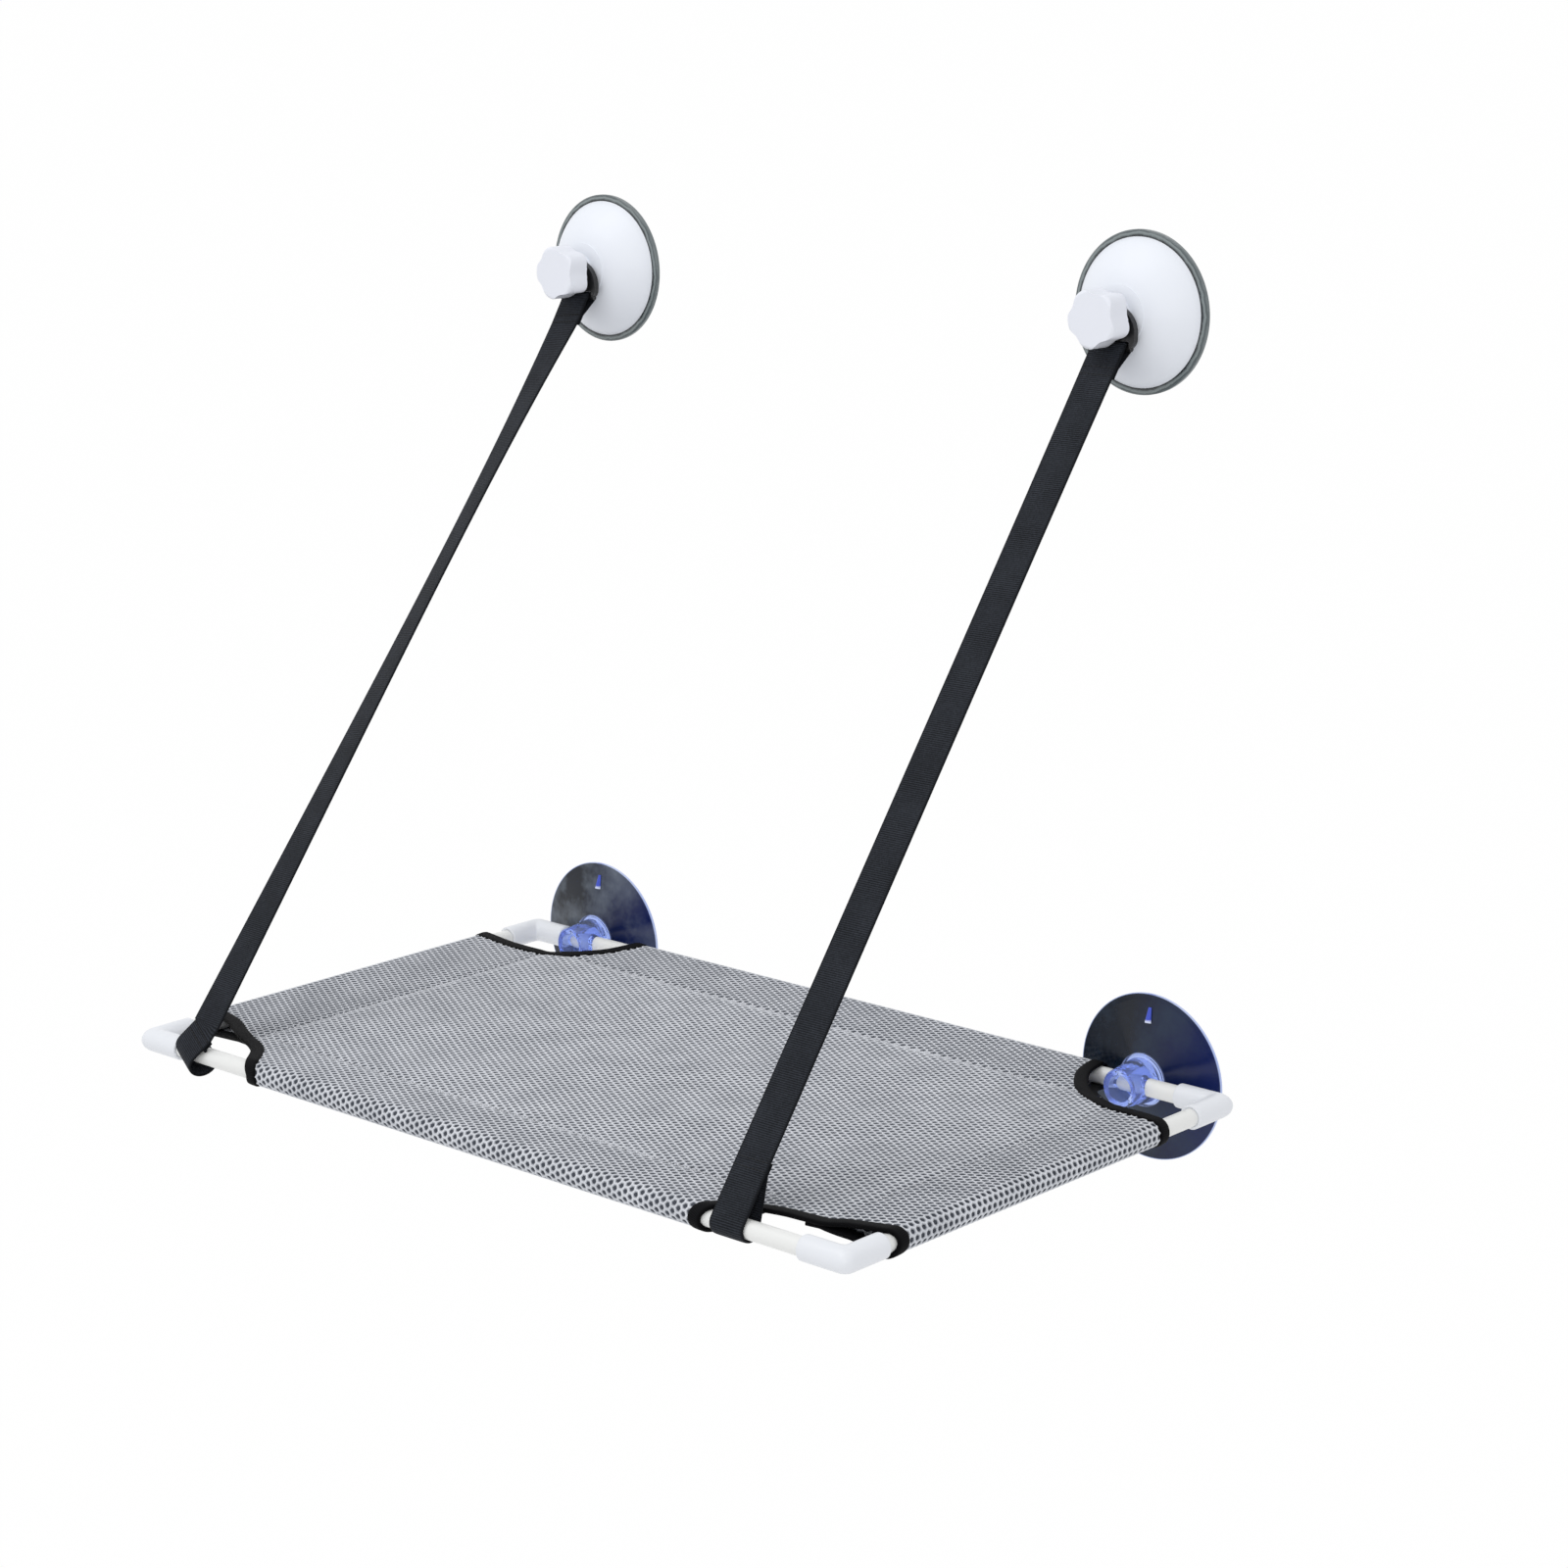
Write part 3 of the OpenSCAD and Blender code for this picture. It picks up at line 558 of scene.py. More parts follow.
def hole_centres():
    """Places of the holes on the flat cloth: columns a wale apart, every other one half a course
    up, as far as the hems and outside the corners' cut-outs."""
    wide = (RIGHT_X - LEFT_X) / 2 + max(flap_length(LEFT_BAND), flap_length(RIGHT_BAND))
    deep = (BACK_Y - FRONT_Y) / 2 + max(flap_length(FRONT_BAND), flap_length(BACK_BAND))
    column = np.arange(-int(wide / WALE), int(wide / WALE) + 1)
    row = np.arange(-int(deep / COURSE), int(deep / COURSE) + 1)
    x = np.broadcast_to(MIDDLE_X + column[:, None] * WALE, (len(column), len(row)))
    y = MIDDLE_Y + (row[None, :] + 0.5 * (column[:, None] % 2)) * COURSE
    x, y = x.ravel(), y.ravel()
    kept = np.ones(len(x), bool)
    for axis, tube, way, band in EDGES.values():
        kept &= ((x, y)[axis] - tube) * way < flap_length(band)
    for side, end in CUT_LINES:
        line = cut_line(side, end)
        far_x = line[-1, 0] + EDGES[side][2]
        far_y = line[0, 1] + EDGES[end][2]
        far = [[far_x, line[-1, 1]], [far_x, far_y], [line[0, 0], far_y]]
        kept &= ~inside(x, y, np.concatenate([line, far]))
    return x[kept], y[kept]


def hole_radius(x, y):
    """The holes stand wider open in the sleeves' upper cloth than between the seams."""
    radius = np.full(len(x), HOLE_R)
    for name, (axis, tube, way, band) in EDGES.items():
        inward = (tube - (x, y)[axis]) * way
        radius = np.where((inward > 0) & (inward < band), HOLE_R * BAND_OPEN[name], radius)
    return radius


def net_arrays():
    """The whole net. Round each hole stands the six-sided border that it shares with its
    neighbours, raised and lowered to the yarn's two faces, and a smaller six-sided rim at mid
    height. Slanted faces join border to rim, above and below. The numbers of each hole's six
    border points come last, and how many border points there are."""
    x, y = hole_centres()
    far = WALE / 2 + COURSE ** 2 / (8 * WALE)
    near = WALE - far
    half = COURSE / 2
    hexagon = np.array([[far, 0], [near, half], [-near, half],
                        [-far, 0], [-near, -half], [near, -half]])
    centre = np.stack([x, y], axis=-1)[:, None, :]
    border = (centre + hexagon).reshape(-1, 2)
    rim = (centre + hexagon * (hole_radius(x, y) / far)[:, None, None]).reshape(-1, 2)
    key = np.round(border / SAME_POINT).astype(np.int64)
    first, corner = np.unique(key, axis=0, return_index=True, return_inverse=True)[1:]
    corner = corner.reshape(-1, 6)
    border = border[first]
    count = len(border)
    flat = np.concatenate([border, border, rim])
    lift = np.repeat([YARN_HALF, -YARN_HALF, 0.0], [count, count, len(rim)])
    rim_id = 2 * count + np.arange(len(rim)).reshape(-1, 6)
    next_corner, next_rim = np.roll(corner, -1, axis=1), np.roll(rim_id, -1, axis=1)
    top = np.stack([corner, next_corner, next_rim, rim_id], axis=-1)
    bottom = np.stack([corner + count, rim_id, next_rim, next_corner + count], axis=-1)
    faces = np.concatenate([top, bottom], axis=1)
    return x, flat, lift, faces, corner, count


def corner_normals(points, faces):
    """At each point, the mean of the normals of the faces round it, by their area."""
    a, b, c, d = (points[faces[:, k]] for k in range(4))
    flat = np.cross(c - a, d - b)
    total = np.zeros_like(points)
    for k in range(4):
        np.add.at(total, faces[:, k], flat)
    return total / np.maximum(np.linalg.norm(total, axis=1), 1e-12)[:, None]


def side_walls(corner, count):
    """Closes a net at its edge: a side of a hole's border that no other hole shares gets a wall
    from the upper pair of points to the lower one."""
    start, end = corner.ravel(), np.roll(corner, -1, axis=1).ravel()
    alone = ~np.isin(start * count + end, end * count + start)
    start, end = start[alone], end[alone]
    return np.stack([end, start, start + count, end + count], axis=-1)


def knitted_mesh():
    """Grey polyester yarn with a fine twist, its colour darkened down the holes as painted shade.
    """
    nodes = Nodes(bpy.data.materials.new("mesh_cloth"))
    place = nodes.add("ShaderNodeTexCoord", output="Object")
    depth = nodes.add("ShaderNodeAttribute", {"attribute_name": "hole_depth"}, output="Fac")
    cloud = noise(nodes, place, scale=45.0, detail=3.0)
    twist = noise(nodes, place, scale=1500.0, detail=2.0)
    # Painted shade: the colour darkens with the depth of the hole, over random clouds of tone.
    shade = (depth * 0.75 + (cloud - 0.5) * 0.5).to_share()
    nodes.surface({
        "Base Color": between(nodes, shade, paint(221, 224, 231), paint(102, 108, 118)),
        "Roughness": 0.62 + (twist - 0.5) * 0.2,
        "Normal": bumps(nodes, strength=0.6, depth=0.00012, height=twist),
        "Sheen Weight": 0.25,
        "Sheen Roughness": 0.4,
    })
    return nodes.owner


mesh_cloth = knitted_mesh()
# The inner ply's dark grey is painted shade for the bottom of the holes.
ply_painted_shade = plastic("ply_painted_shade", paint(58, 63, 74), roughness=0.8, mottle=0.2,
                    grain_size=0.0006, grain_depth=0.00006)
PANELS = ("left_sling_panel", "middle_sling_panel", "right_sling_panel")
hole_x, net_flat, net_lift, net_faces, net_corner, border_count = net_arrays()
net_points = drape(net_flat[:, 0], net_flat[:, 1], net_lift)
net_normals = corner_normals(net_points, net_faces.reshape(-1, 4))
edges_x = np.linspace(hole_x.min() - WALE, hole_x.max() + WALE, len(PANELS) + 1)
for panel, x_from, x_to in zip(PANELS, edges_x[:-1], edges_x[1:]):
    chosen = (hole_x >= x_from) & (hole_x < x_to)
    faces = net_faces[chosen].reshape(-1, 4)
    faces = np.concatenate([faces, side_walls(net_corner[chosen], border_count)])
    used, faces = np.unique(faces, return_inverse=True)
    cloth = make_piece(panel, net_points[used], faces.reshape(-1, 4), mesh_cloth, "mesh_cloth",
                       normals=net_normals[used])
    depth = cloth.data.attributes.new("hole_depth", "FLOAT", "POINT")
    depth.data.foreach_set("value", (1 - np.abs(net_lift[used]) / YARN_HALF).astype(np.float32))
    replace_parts(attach(cloth, "platform"), "mesh_sling")
    chosen.sum() * WALE * COURSE

# The inner ply: a thin close-knit layer at mid height; its dark grey is painted shade, seen at the
# bottom of the holes.
flat_side = net_flat[:border_count]
ply_flat = np.concatenate([flat_side, flat_side])
ply_lift = np.repeat([PLY_HALF, -PLY_HALF], border_count)
upper = np.concatenate([net_corner[:, [0, 1, 2, 3]], net_corner[:, [3, 4, 5, 0]]])
lower = upper[:, ::-1] + border_count
faces = np.concatenate([upper, lower, side_walls(net_corner, border_count)])
ply_points = drape(ply_flat[:, 0], ply_flat[:, 1], ply_lift)
inner_ply = make_piece("sling_inner_ply", ply_points, faces, ply_painted_shade, "mesh_cloth",
                       normals=corner_normals(ply_points, faces))
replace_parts(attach(inner_ply, "platform"), "mesh_sling")


# The sleeves' seams: lockstitch in pale thread, one row at the foot of each sleeve, seen as small
# beads above the sheet and below the hem.

STITCH_PITCH = 2.9 * MM
STITCH_LENGTH = 2.3 * MM
STITCH_R = 0.42 * MM
SEAM_POINTS = 40
BEAD_RINGS = 5
BEAD_SIDES = 6
BEAD_TIP_SHARE = 0.02


def beads(start, end, pitch, length, radius, up):
    """A row of long beads from the start to the end, every one a six-sided spindle: its radius is
    the square root of a half sine along it."""
    run = end - start
    count = max(int(np.linalg.norm(run) / pitch), 1)
    place = start + run * ((np.arange(count) + 0.5) / count)[:, None]
    along = run / np.linalg.norm(run)
    side = np.cross(up, along)
    s = np.linspace(0, 1, BEAD_RINGS)[:, None]
    around = np.linspace(0, 2 * np.pi, BEAD_SIDES, endpoint=False)[None, :]
    swell = radius * np.sqrt(np.maximum(np.sin(np.pi * s), BEAD_TIP_SHARE))
    shape = (s - 0.5)[..., None] * length * along + (swell * np.cos(around))[..., None] * side
    shape = shape + (swell * np.sin(around))[..., None] * up
    points = place[:, None, None, :] + shape[None]
    skin = ring_faces(BEAD_RINGS, BEAD_SIDES)
    first_cap = np.array([[0, 5, 4, 3], [0, 3, 2, 1]])
    last_cap = np.array([[0, 1, 2, 3], [0, 3, 4, 5]]) + (BEAD_RINGS - 1) * BEAD_SIDES
    cell = np.concatenate([skin, first_cap, last_cap])
    faces = np.arange(count)[:, None, None] * BEAD_RINGS * BEAD_SIDES + cell[None]
    return points.reshape(-1, 3), faces.reshape(-1, 4)


def join_arrays(parts):
    """Several meshes as one, with their faces renumbered."""
    points, faces = zip(*parts)
    shift = np.cumsum([0] + [len(p) for p in points[:-1]])
    return np.concatenate(points), np.concatenate([f + s for f, s in zip(faces, shift)])


seam_thread = plastic("seam_thread", paint(196, 198, 203), roughness=0.6, mottle=0.1,
                      grain_size=0.0004, grain_depth=0.00005)
mouth = {key: np.array(line) * MM for key, line in CUT_LINES.items()}
rows = []
for name, (axis, tube, way, band) in EDGES.items():
    if axis == 0:
        seam_from = FRONT_Y + mouth[name, "front"][-1, 1]
        seam_to = BACK_Y - mouth[name, "back"][-1, 1]
    else:
        seam_from = LEFT_X + mouth["left", name][0, 0]
        seam_to = RIGHT_X - mouth["right", name][0, 0]
    seam = np.zeros((SEAM_POINTS, 3))
    seam[:, axis] = tube - way * band
    seam[:, 1 - axis] = np.linspace(seam_from, seam_to, SEAM_POINTS)
    above = CLOTH_R + YARN_HALF + relief(seam[:, 0], seam[:, 1])
    below = CLOTH_R - 3 * YARN_HALF - FLAP_GAP
    for height, up in ((above, 1.0), (below, -1.0)):
        line = np.array(seam)
        line[:, 2] = height
        up_way = np.array([0, 0, up])
        for a, b in zip(line[:-1], line[1:]):
            rows.append(beads(a, b, STITCH_PITCH, STITCH_LENGTH, STITCH_R, up_way))
points, faces = join_arrays(rows)
sleeve_stitches = make_piece("sleeve_stitches", points, faces, seam_thread, "mesh_cloth")
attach(sleeve_stitches, "platform")


# The bindings: black woven tape, folded over each cut edge of the mesh and sewn, from the hem under
# the front or back tube, across the corner and down to the hem under the side tube.

TAPE_W = 7.8 * MM
TAPE_HALF = 1.28 * MM
TAPE_RIB = 0.9 * MM
TAPE_SINK = 24 * MM
TAPE_SINK_SHARE = 1.25
TAPE_SIDES = 20
TAPE_SQUARENESS = 0.55
FOLD_FULLNESS = 0.12
SELVEDGE_FROM = 1.5 * MM
SELVEDGE_TO = 0.3 * MM
RIB_WAVE = 0.314


def ramp_up(value, start, end):
    """0 below the start, 1 above the end, and straight between them."""
    return ((value - start) * (1 / (end - start))).to_share()


def woven(name, colour, pale, half_width, rib, rib_depth, roughness):
    """Woven polyester on a piece whose UV runs along and across it in metres: cross ribs a rib
    apart, with finer warp ends between, a little dust, a painted highlight that makes the ribs'
    crowns paler, and darker towards the selvedges. A wave of scale RIB_WAVE over a length
    repeats once in that length."""
    nodes = Nodes(bpy.data.materials.new(name))
    place = nodes.add("ShaderNodeTexCoord", output="Object")
    run = nodes.add("ShaderNodeUVMap", {"uv_map": "length_width"})
    ribs = {"Vector": run, "Scale": RIB_WAVE / rib}
    weft = nodes.add("ShaderNodeTexWave", {"bands_direction": "X"}, ribs)
    warp = nodes.add("ShaderNodeTexWave", {"bands_direction": "Y"}, ribs)
    fibre = noise(nodes, place, scale=900.0, detail=3.0)
    dust = noise(nodes, place, scale=60.0, detail=4.0)
    across = abs(nodes.add("ShaderNodeSeparateXYZ", None, {"Vector": run}, output=1))
    inner = 1 - ramp_up(across, half_width - SELVEDGE_FROM, half_width - SELVEDGE_TO)
    # Painted highlight: the weft ribs' crowns lift the colour towards pale; fibre and dust vary it
    # at random.
    shade = ((weft * 0.6 + (fibre - 0.5) * 0.9 + (dust - 0.45) * 0.5) * inner).to_share()
    height = weft * 0.7 + warp * 0.3 + fibre * 0.25
    nodes.surface({
        "Base Color": between(nodes, shade, colour, pale),
        "Roughness": roughness + (fibre - 0.5) * 0.2,
        "Normal": bumps(nodes, strength=0.8, depth=rib_depth, height=height),
        "Specular IOR Level": 0.07,
    })
    return nodes.owner


def squared(wave, power):
    """A sine or cosine whose size is raised to a power, and whose sign stays. It turns a circle
    towards a square."""
    return np.sign(wave) * np.abs(wave) ** power


def lengths_along(line):
    """How far along a line each of its points lies."""
    return np.concatenate([[0], np.cumsum(np.linalg.norm(np.diff(line, axis=0), axis=1))])


def fold_section(count):
    """The folded tape's outline, across the tape and over it: an oval flattened on both faces,
    fuller at the fold."""
    around = np.linspace(0, 2 * np.pi, count, endpoint=False)
    across = squared(np.cos(around), TAPE_SQUARENESS)
    over = squared(np.sin(around), TAPE_SQUARENESS)
    return across * TAPE_W / 2, over * TAPE_HALF * (1 + FOLD_FULLNESS * across)


def tape_skin(line):
    """The folded section carried along a line on the flat cloth, square to it, and hung with it. By
    its ends, under the sheet, it lies clear of the cloth above it."""
    step = np.gradient(line, axis=0)
    step = step / np.linalg.norm(step, axis=1)[:, None]
    out = np.stack([step[:, 1], -step[:, 0]], axis=-1)
    across, over = fold_section(TAPE_SIDES)
    flat = line[:, None, :] + across[None, :, None] * out[:, None, :]
    length = lengths_along(line)
    from_end = np.minimum(length, length[-1] - length)
    sunk = TAPE_SINK_SHARE * TAPE_HALF * np.clip(1 - from_end / TAPE_SINK, 0, 1)
    points = drape(flat[..., 0], flat[..., 1], over[None, :] + sunk[:, None])
    uv = np.stack(np.broadcast_arrays(length[:, None], across[None, :]), axis=-1)
    return points, uv


def capped(points):
    """Faces of a tube of sections, with each end closed by quads across the section."""
    rings, sides = points.shape[:2]
    k = np.arange(sides // 2 - 1)
    low = np.stack([k, sides - 1 - k, sides - 2 - k, k + 1], axis=-1)
    high = low[:, ::-1] + (rings - 1) * sides
    return np.concatenate([ring_faces(rings, sides), low, high])


binding_tape = woven("binding_tape", paint(5, 5, 7), paint(22, 23, 26), half_width=TAPE_W / 2,
                     rib=TAPE_RIB, rib_depth=0.0001, roughness=0.7)
for side, end in CUT_LINES:
    points, uv = tape_skin(cut_line(side, end))
    node = f"{end}_{side}_binding"
    tape = make_piece(f"{node}_tape", points, capped(points), binding_tape, "binding_tape", uv=uv)
    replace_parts(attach(tape, "platform"), node)


# The straps: black polyester webbing, looped round the front tube and over the hanger's bar, each
# end sewn back on itself with two rows of thread. The left one hangs with a twist in it. Each is
# split at its sewn ends: a loop rides with what it goes round, and the run between them rides with
# the window cups.

WEB_W = 22 * MM
WEB_T = 1.5 * MM
WEB_RIB = 1.15 * MM
WEB_SIDES = 28
EDGE_SQUARENESS = 0.28
FACE_SQUARENESS = 0.5
SEWN_LENGTH = 6 * MM
LEFT_LOOP = 7 * MM
RIGHT_LOOP = 27 * MM
HIGH_LOOP = 13 * MM
CLOTH_GAP = 0.3 * MM
LEFT_SLACK = 1.8 * MM
HANGER_DROP = 15.8 * MM
BAR_R = 1.6 * MM
THREAD_PITCH = 2.2 * MM
THREAD_LENGTH = 1.9 * MM
THREAD_R = 0.34 * MM
THREAD_ROW_SHARES = (0.12, 0.88)
THREAD_SPAN_SHARE = 0.46
BACK_STEPS = 6
COMING_STEPS = 12
ARC_POINTS = 40
GOING_STEPS = 16
RUN_STEPS = 90
FOLD_LIMIT = math.radians(88)

# Each strap: along the tube, the low loop's middle and its sewn end, then the loop's reach and
# slack, the twist of the run, and how far the hanger is turned on its stud
STRAPS = {
    "left": (-215.8 * MM, -212.0 * MM, LEFT_LOOP, LEFT_SLACK, math.radians(38), math.radians(6)),
    "right": (197.0 * MM, 197.0 * MM, RIGHT_LOOP, 0.0, math.radians(5), 0.0),
}


def unit(v):
    """The same direction, of length one."""
    return v / np.linalg.norm(v, axis=-1, keepdims=True)


def square_to(v, w):
    """The part of v that is square to w, of length one."""
    return unit(v - (v * w).sum(axis=-1, keepdims=True) * w)


def loop_line(radius, reach, sewn):
    """A loop's middle line in its plane, along and across: from the sewn end, round the tube or bar
    and back beside itself."""
    inner = radius - WEB_T
    start = math.atan2(inner, reach) - math.acos(radius / math.hypot(reach, inner))
    angle = np.linspace(start, math.pi / 2 - 2 * math.pi, ARC_POINTS)
    arc = np.stack([radius * np.cos(angle), radius * np.sin(angle)], axis=-1)
    back = np.linspace([reach + sewn, inner], [reach, inner], BACK_STEPS)
    coming = np.linspace([reach, inner], arc[0], COMING_STEPS)[1:-1]
    going = np.linspace(arc[-1], [reach + sewn, radius], GOING_STEPS)[1:]
    return np.concatenate([back, coming, arc, going])


def loop_stations(centre, across, along, over, line):
    """Points, width directions and thickness directions along a loop."""
    step = unit(np.gradient(line, axis=0))
    place = centre + line[:, :1] * along + line[:, 1:] * over
    width = np.broadcast_to(across, place.shape)
    thick = step[:, :1] * over - step[:, 1:] * along
    return place, width, thick


def run_stations(first, last, twist, count):
    """Straight from one loop to the other. The width turns from that of the first to that of the
    last, and by the twist on the way."""
    s = (np.arange(1, count) / count)[:, None]
    place = first[0] * (1 - s) + last[0] * s
    along = unit(last[0] - first[0])
    width = square_to(first[1] * (1 - s) + last[1] * s, along)
    thick = np.cross(width, along)
    turn = twist * s * (1 - s ** 4)
    width = np.cos(turn) * width + np.sin(turn) * thick
    return place, width, np.cross(width, along)


def web_skin(place, width, thick):
    """The webbing's section, a bar with round selvedges, carried along the stations."""
    around = np.linspace(0, 2 * np.pi, WEB_SIDES, endpoint=False)
    across = squared(np.cos(around), EDGE_SQUARENESS) * WEB_W / 2
    over = squared(np.sin(around), FACE_SQUARENESS) * WEB_T / 2
    points = place[:, None] + across[None, :, None] * width[:, None]
    points = points + over[None, :, None] * thick[:, None]
    uv = np.stack(np.broadcast_arrays(lengths_along(place)[:, None], across[None, :]), axis=-1)
    return points, uv


def strap_stations(low, sewn_x, low_reach, bar, bar_turn, slack, twist):
    """All stations of one strap, from its end under the low loop to its end under the high loop.
    Also each loop's centre, its width, run and outward directions, its radius and its reach."""
    climb = bar - low
    lean = np.array([(sewn_x - low[0]) / low_reach, 0, 0])
    across_tube = np.array([1.0, 0, 0])
    along_low = unit(unit(climb * [0, 1, 1]) + lean)
    width_low = square_to(across_tube, along_low)
    width_bar = np.array([math.cos(bar_turn), 0, math.sin(bar_turn)])
    along_bar = square_to(-climb, width_bar)
    low_r = TUBE_R + CLOTH_GAP + slack + WEB_T / 2
    bar_r = BAR_R + CLOTH_GAP + WEB_T / 2
    low_loop = (low, width_low, along_low, np.cross(width_low, along_low))
    high_loop = (bar, width_bar, along_bar, -np.cross(width_bar, along_bar))
    low_part = loop_stations(*low_loop, loop_line(low_r, low_reach, SEWN_LENGTH))
    high_part = loop_stations(*high_loop, loop_line(bar_r, HIGH_LOOP, SEWN_LENGTH))
    high_part = [values[::-1] for values in high_part]
    first = [values[-1] for values in low_part]
    last = [values[0] for values in high_part]
    middle = run_stations(first, last, twist, RUN_STEPS)
    stations = [np.concatenate(parts) for parts in zip(low_part, middle, high_part)]
    return stations, ((*low_loop, low_r, low_reach), (*high_loop, bar_r, HIGH_LOOP))


def seam_beads(centre, width, along, over, radius, reach):
    """Two rows of stitches across the webbing where a loop is sewn shut, on both faces of the
    pair."""
    rows = []
    for share in THREAD_ROW_SHARES:
        for height, up in ((radius + WEB_T / 2, over), (radius - 1.5 * WEB_T, -over)):
            middle = centre + (reach + share * SEWN_LENGTH) * along + height * over
            edge = THREAD_SPAN_SHARE * WEB_W * width
            row = beads(middle - edge, middle + edge, THREAD_PITCH, THREAD_LENGTH, THREAD_R, up)
            rows.append(row)
    return rows


def folded(place):
    """Where a place on the platform comes to lie once the platform is folded up against the window:
    turned by the fold's limit about the back tube's axis."""
    y, z = place[1] - BACK_Y, place[2] - (back_low.z + back_high.z) / 2
    return place + [0, y * (math.cos(FOLD_LIMIT) - 1) + z * math.sin(FOLD_LIMIT),
                    z * (math.cos(FOLD_LIMIT) - 1) - y * math.sin(FOLD_LIMIT)]


strap_thread = plastic("strap_thread", paint(6, 6, 8), roughness=0.8, mottle=0.2,
                       grain_size=0.0003, grain_depth=0.00003)
webbing = woven("webbing", paint(20, 22, 26), paint(60, 64, 72), half_width=WEB_W / 2,
                rib=WEB_RIB, rib_depth=0.0002, roughness=0.62)
tube_middle = np.array([0, FRONT_Y, (front_low.z + front_high.z) / 2])
for side, (low_x, sewn_x, low_reach, slack, twist, turn) in STRAPS.items():
    stud_low, stud_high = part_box(f"{side}_stud")
    hanger_low, hanger_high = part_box(f"{side}_hanger")
    stud_x = (stud_low.x + stud_high.x) / 2
    stud_z = (stud_low.z + stud_high.z) / 2
    bar = np.array([stud_x + HANGER_DROP * math.sin(turn), (hanger_low.y + hanger_high.y) / 2,
                    stud_z - HANGER_DROP * math.cos(turn)])
    low = tube_middle + [low_x, 0, 0]
    stations, loops = strap_stations(low, sewn_x, low_reach, bar, turn, slack, twist)
    points, uv = web_skin(*stations)
    skin = ring_faces(*points.shape[:2])
    normals = corner_normals(points.reshape(-1, 3), skin).reshape(points.shape)
    outward = np.sign((normals * (points - stations[0][:, None])).sum())
    run_start = (len(points) - RUN_STEPS) // 2
    run_end = run_start + RUN_STEPS
    spans = {
        "low_loop": slice(0, run_start + 1),
        "run": slice(run_start, run_end + 1),
        "high_loop": slice(run_end, None),
    }
    pieces = {}
    for part, span in spans.items():
        piece = make_piece(f"{side}_strap_{part}", points[span], capped(points[span]), webbing,
                           "webbing", uv=uv[span], normals=outward * normals[span])
        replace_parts(piece, f"{side}_strap")
        pieces[part] = piece
    for part, loop, body in zip(("low_loop", "high_loop"), loops, ("platform", "window_cups")):
        stitches = make_piece(f"{side}_{part}_stitches", *join_arrays(seam_beads(*loop)),
                              strap_thread, "webbing")
        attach(stitches, body)
        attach(pieces[part], body)
    run_low, run_high = stations[0][run_start], stations[0][run_end]
    shift = folded(run_low) - run_low
    way = unit(shift)
    keep = 1 - np.linalg.norm(shift) / ((run_high - run_low) @ way)
    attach(pieces["run"], "window_cups")
    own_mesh(pieces["run"])


# The hangers, knobs and hardware: a black plastic hanger on each plated stud, under a washer and a
# white knob with a nut pressed into it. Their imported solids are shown.

hanger_plastic = plastic("hanger_plastic", paint(24, 24, 26), roughness=0.32, mottle=0.2,
                         grain_size=0.0006, grain_depth=0.00003)
knob_plastic = plastic("knob_plastic", paint(234, 237, 246), roughness=0.42, mottle=0.04,
                       grain_size=0.0012, grain_depth=0.00002, coat=0.1)
plated_steel = plastic("plated_steel", paint(190, 190, 194), roughness=0.28, mottle=0.1,
                       grain_size=0.0004, grain_depth=0.00002)
plated_steel.node_tree.nodes["Principled BSDF"].inputs["Metallic"].default_value = 1.0
for side in ("left", "right"):
    dress(f"{side}_hanger", hanger_plastic)
    dress(f"{side}_knob", knob_plastic)
    dress(f"{side}_knob_nut", plated_steel)
    dress(f"{side}_washer", plated_steel)
    dress(f"{side}_stud", plated_steel)


# The upper cups: a grey-green rubber cup under a hard white dome, which the knob presses on it.
# Only the cup's lip shows, as a band round the dome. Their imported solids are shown.

LIP_FROM = 39.2 * MM
LIP_TO = 43.0 * MM
LIP_SCUFF = 2.2 * MM


def round_the_cups(nodes, node):
    """Places round the axes of both cups like the named one: across and up from the nearer axis,
    the radius round it, and the depth from the glass."""
    low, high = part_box(node)
    place = nodes.add("ShaderNodeTexCoord", output="Object")
    x, y, z = (nodes.add("ShaderNodeSeparateXYZ", None, {"Vector": place}, output=k)
               for k in range(3))
    across = abs(x) - (low.x + high.x) / 2
    up = z - (low.z + high.z) / 2
    squared_radius = across * across + up * up
    radius = squared_radius.maths("SQRT", squared_radius, 0.0)
    return {"place": place, "x": x, "across": across, "up": up, "radius": radius, "depth": 0.0 - y}


def rubber():
    """Grey-green rubber, scuffed: a dark line of painted shadow beside the dome, a pale band with a
    painted highlight along the lip's ridge, and darker towards the outer edge.
    """
    nodes = Nodes(bpy.data.materials.new("cup_rubber"))
    cup = round_the_cups(nodes, "right_upper_cup")
    scuff = noise(nodes, cup["place"], scale=160.0, detail=4.0)
    # Painted shadow in the dark stops by the dome, and a painted highlight in the lip's palest
    # band.
    stops = [(0.0, paint(26, 31, 35)), (0.2, paint(34, 41, 45)), (0.38, paint(112, 121, 123)),
             (0.58, paint(134, 143, 144)), (0.78, paint(66, 76, 80)), (1.0, paint(100, 109, 112))]
    share = ramp_up(cup["radius"] + (scuff - 0.5) * LIP_SCUFF, LIP_FROM, LIP_TO)
    nodes.surface({
        "Base Color": nodes.add("ShaderNodeValToRGB", {"stops": stops}, {0: share}),
        "Roughness": 0.28 + (scuff - 0.5) * 0.3,
        "Normal": bumps(nodes, strength=0.5, depth=0.00015, height=scuff),
        "Coat Weight": 0.3,
    })
    return nodes.owner


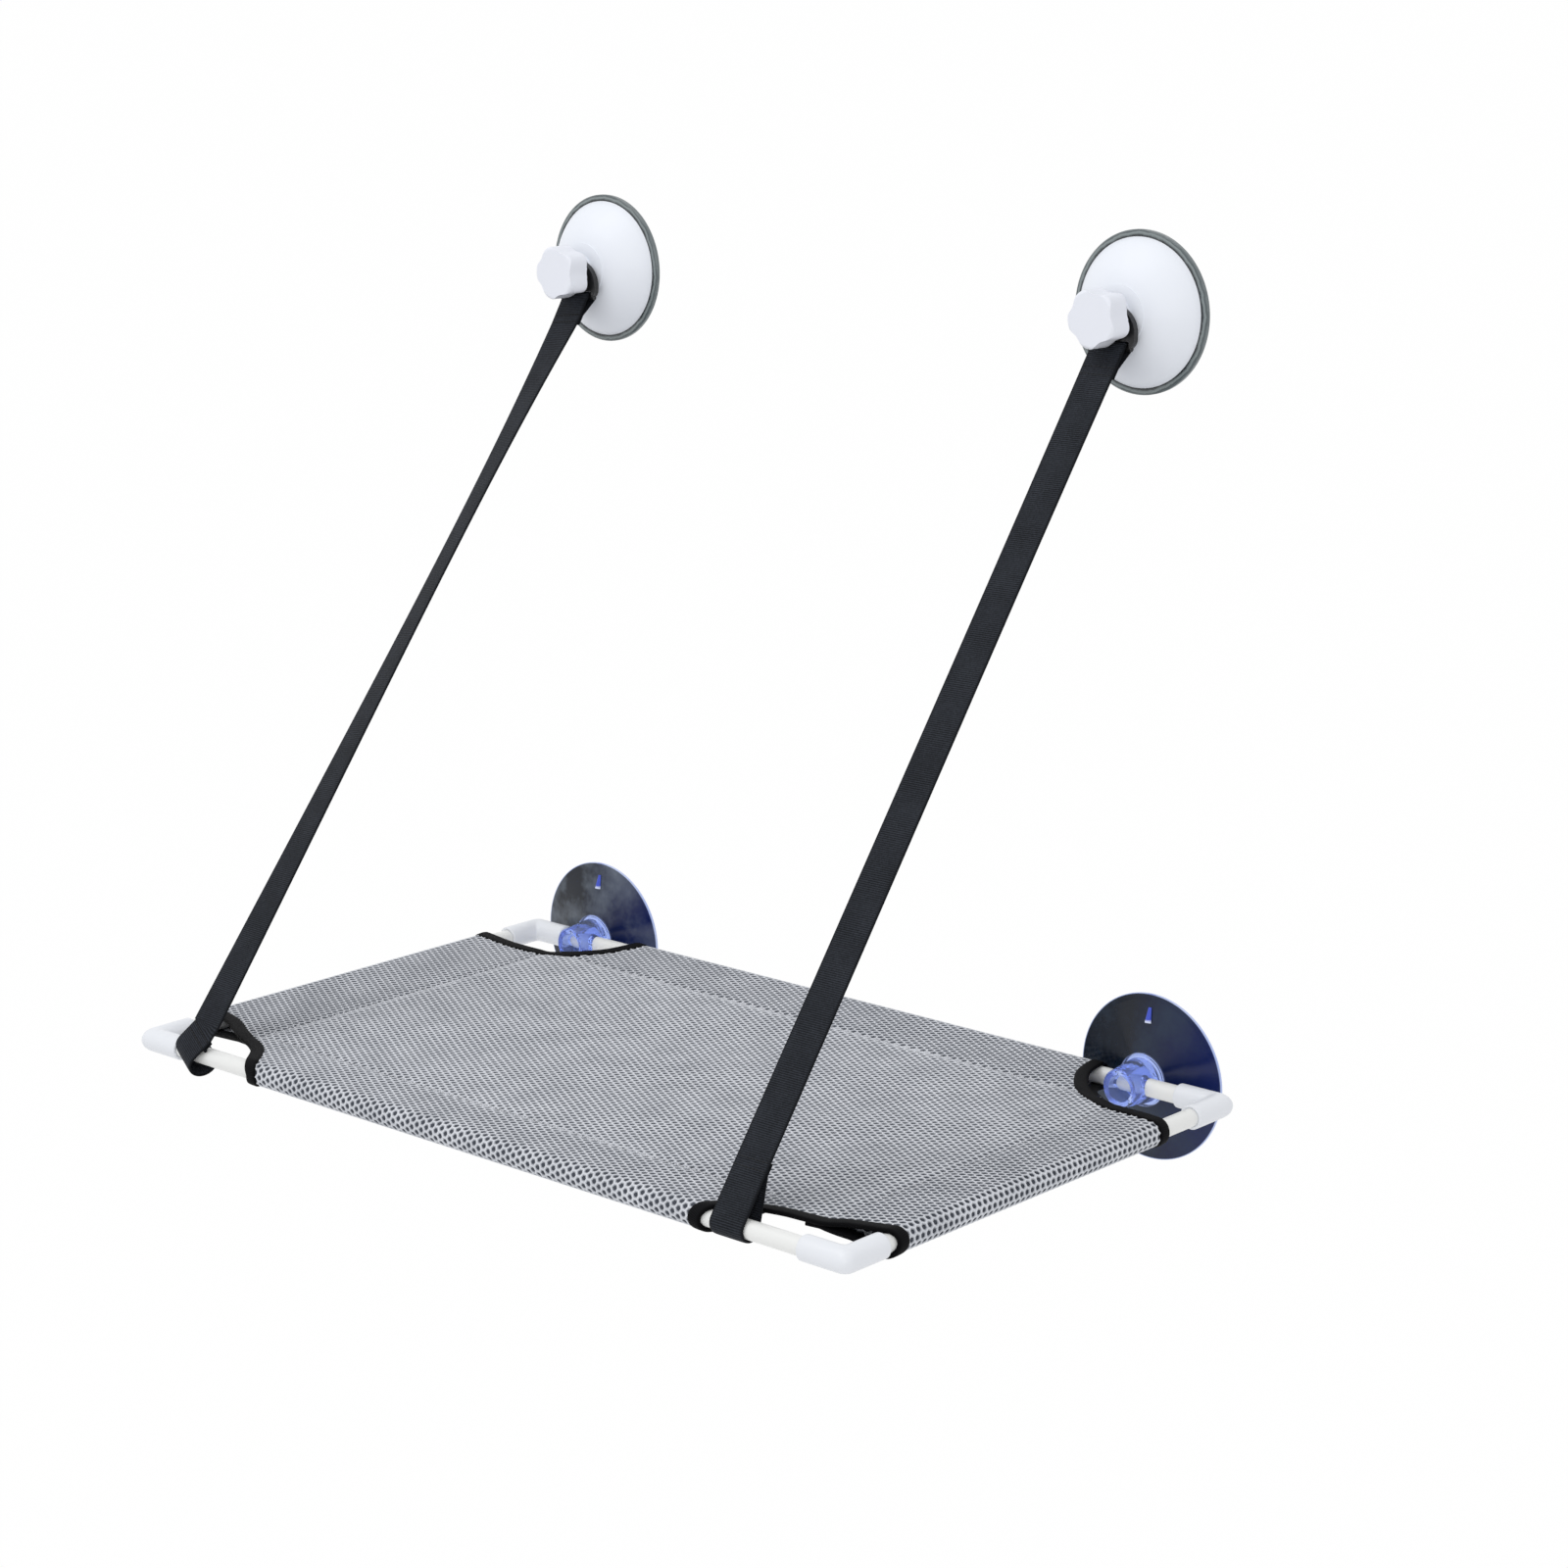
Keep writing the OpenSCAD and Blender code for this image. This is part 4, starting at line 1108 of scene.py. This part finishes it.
dome_plastic = plastic("dome_plastic", paint(236, 240, 248), roughness=0.5, mottle=0.03,
                       grain_size=0.0015, grain_depth=0.00002, coat=0.08)
cup_rubber = rubber()
for side in ("left", "right"):
    dress(f"{side}_dome", dome_plastic)
    dress(f"{side}_upper_cup", cup_rubber)


# The lower cups: clear blue vinyl, moulded in one with a pull nub near the rim and a hollow neck
# that the back tube goes through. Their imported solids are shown, in a finish that follows them.

RIM_FROM = 46.1 * MM
RIM_TO = 46.5 * MM
NECK_FROM = 14.6 * MM
NECK_TO = 15.2 * MM
BELL_MIDDLE = 31.25 * MM
BELL_SLOPE = 0.221
NUB_HALF = 2.7 * MM
NUB_FOOT = 29.0 * MM
NUB_ABOVE = 4.7 * MM
# Heights over which the nub's painted highlight fades, then the span across a cup over which
# painted light turns the disc bluer.
NUB_HIGHLIGHT_FROM = 32.2 * MM
NUB_HIGHLIGHT_TO = 33.4 * MM
PAINTED_LIGHT_FROM = -12 * MM
PAINTED_LIGHT_TO = 40 * MM


def blue_vinyl():
    """The disc is painted dark navy, the dark look of clear vinyl over what lies behind it, bluer
    towards the right as painted light and hazed in grey clouds of painted reflection, the left
    cup's greyer. Its rim, the nub and the neck carry painted highlights and a faint painted glow
    in blue, and the neck lets the tube inside show through."""
    nodes = Nodes(bpy.data.materials.new("clear_vinyl"))
    cup = round_the_cups(nodes, "right_lower_cup")
    cloud = noise(nodes, cup["place"], scale=28.0, detail=4.0)
    scratch = noise(nodes, cup["place"], scale=240.0, detail=3.0)
    rim = ramp_up(cup["radius"], RIM_FROM, RIM_TO)
    neck = 1 - ramp_up(cup["radius"], NECK_FROM, NECK_TO)
    above_bell = cup["depth"] + (cup["radius"] - BELL_MIDDLE) * BELL_SLOPE
    nub = (abs(cup["across"]) < NUB_HALF) * (cup["up"] > NUB_FOOT) * (above_bell > NUB_ABOVE)
    # Painted light: the rim's edge, the neck and the nub take a pale lit colour and a faint glow.
    painted_light_share = (rim * 0.85 + neck + nub).to_share()
    cloudy = ramp_up(cloud + (scratch - 0.5) * 0.2, 0.4, 0.75)
    side = cup["x"].maths("SIGN", cup["x"], 0.0)
    # Painted light: the dark disc turns bluer towards the right of each cup.
    painted_light_to_right = ramp_up(cup["across"] * side, PAINTED_LIGHT_FROM, PAINTED_LIGHT_TO)
    clear = between(nodes, painted_light_to_right, paint(10, 20, 34), paint(12, 28, 84))
    # Painted reflection: grey clouds over the dark disc, greyer on the left cup.
    painted_reflection_haze = between(nodes, cup["x"] < 0.0, paint(44, 60, 78), paint(122, 132, 145))
    disc = between(nodes, cloudy * (1 - painted_light_to_right * 0.6), clear, painted_reflection_haze)
    # Painted highlight: the lit parts run from pale blue to near white in clouds.
    glow = between(nodes, cloud, paint(156, 178, 240), paint(226, 234, 255))
    # Painted highlight: the nub's lower end turns near white, fading up into its dark blue.
    nub_highlight = 1 - ramp_up(cup["up"], NUB_HIGHLIGHT_FROM, NUB_HIGHLIGHT_TO)
    nub_blue_and_highlight = between(nodes, nub_highlight, paint(46, 66, 190), paint(226, 232, 252))
    lit = between(nodes, nub, glow, nub_blue_and_highlight)
    solid = nodes.surface({
        "Base Color": between(nodes, painted_light_share, disc, lit),
        # Painted glow: the lit parts give off a faint blue light, though they are no lamp.
        "Emission Color": between(nodes, painted_light_share, (0, 0, 0, 1), (0.02, 0.03, 0.08, 1)),
        "Emission Strength": 1.0,
        "Roughness": 0.16 + cloudy * 0.12,
        "Normal": bumps(nodes, strength=0.4, depth=0.00008, height=cloud),
        "Coat Weight": 0.05 + neck * 0.35,
        "Specular IOR Level": 0.3,
    })
    clear_glass = {"Color": paint(214, 225, 255), "Roughness": 0.03, "IOR": 1.34}
    glass = nodes.add("ShaderNodeBsdfGlass", None, clear_glass)
    nodes.show(nodes.add("ShaderNodeMixShader", None, {0: neck * 0.85, 1: solid, 2: glass}))
    return nodes.owner


clear_vinyl = blue_vinyl()
for side in ("left", "right"):
    dress(f"{side}_lower_cup", clear_vinyl)
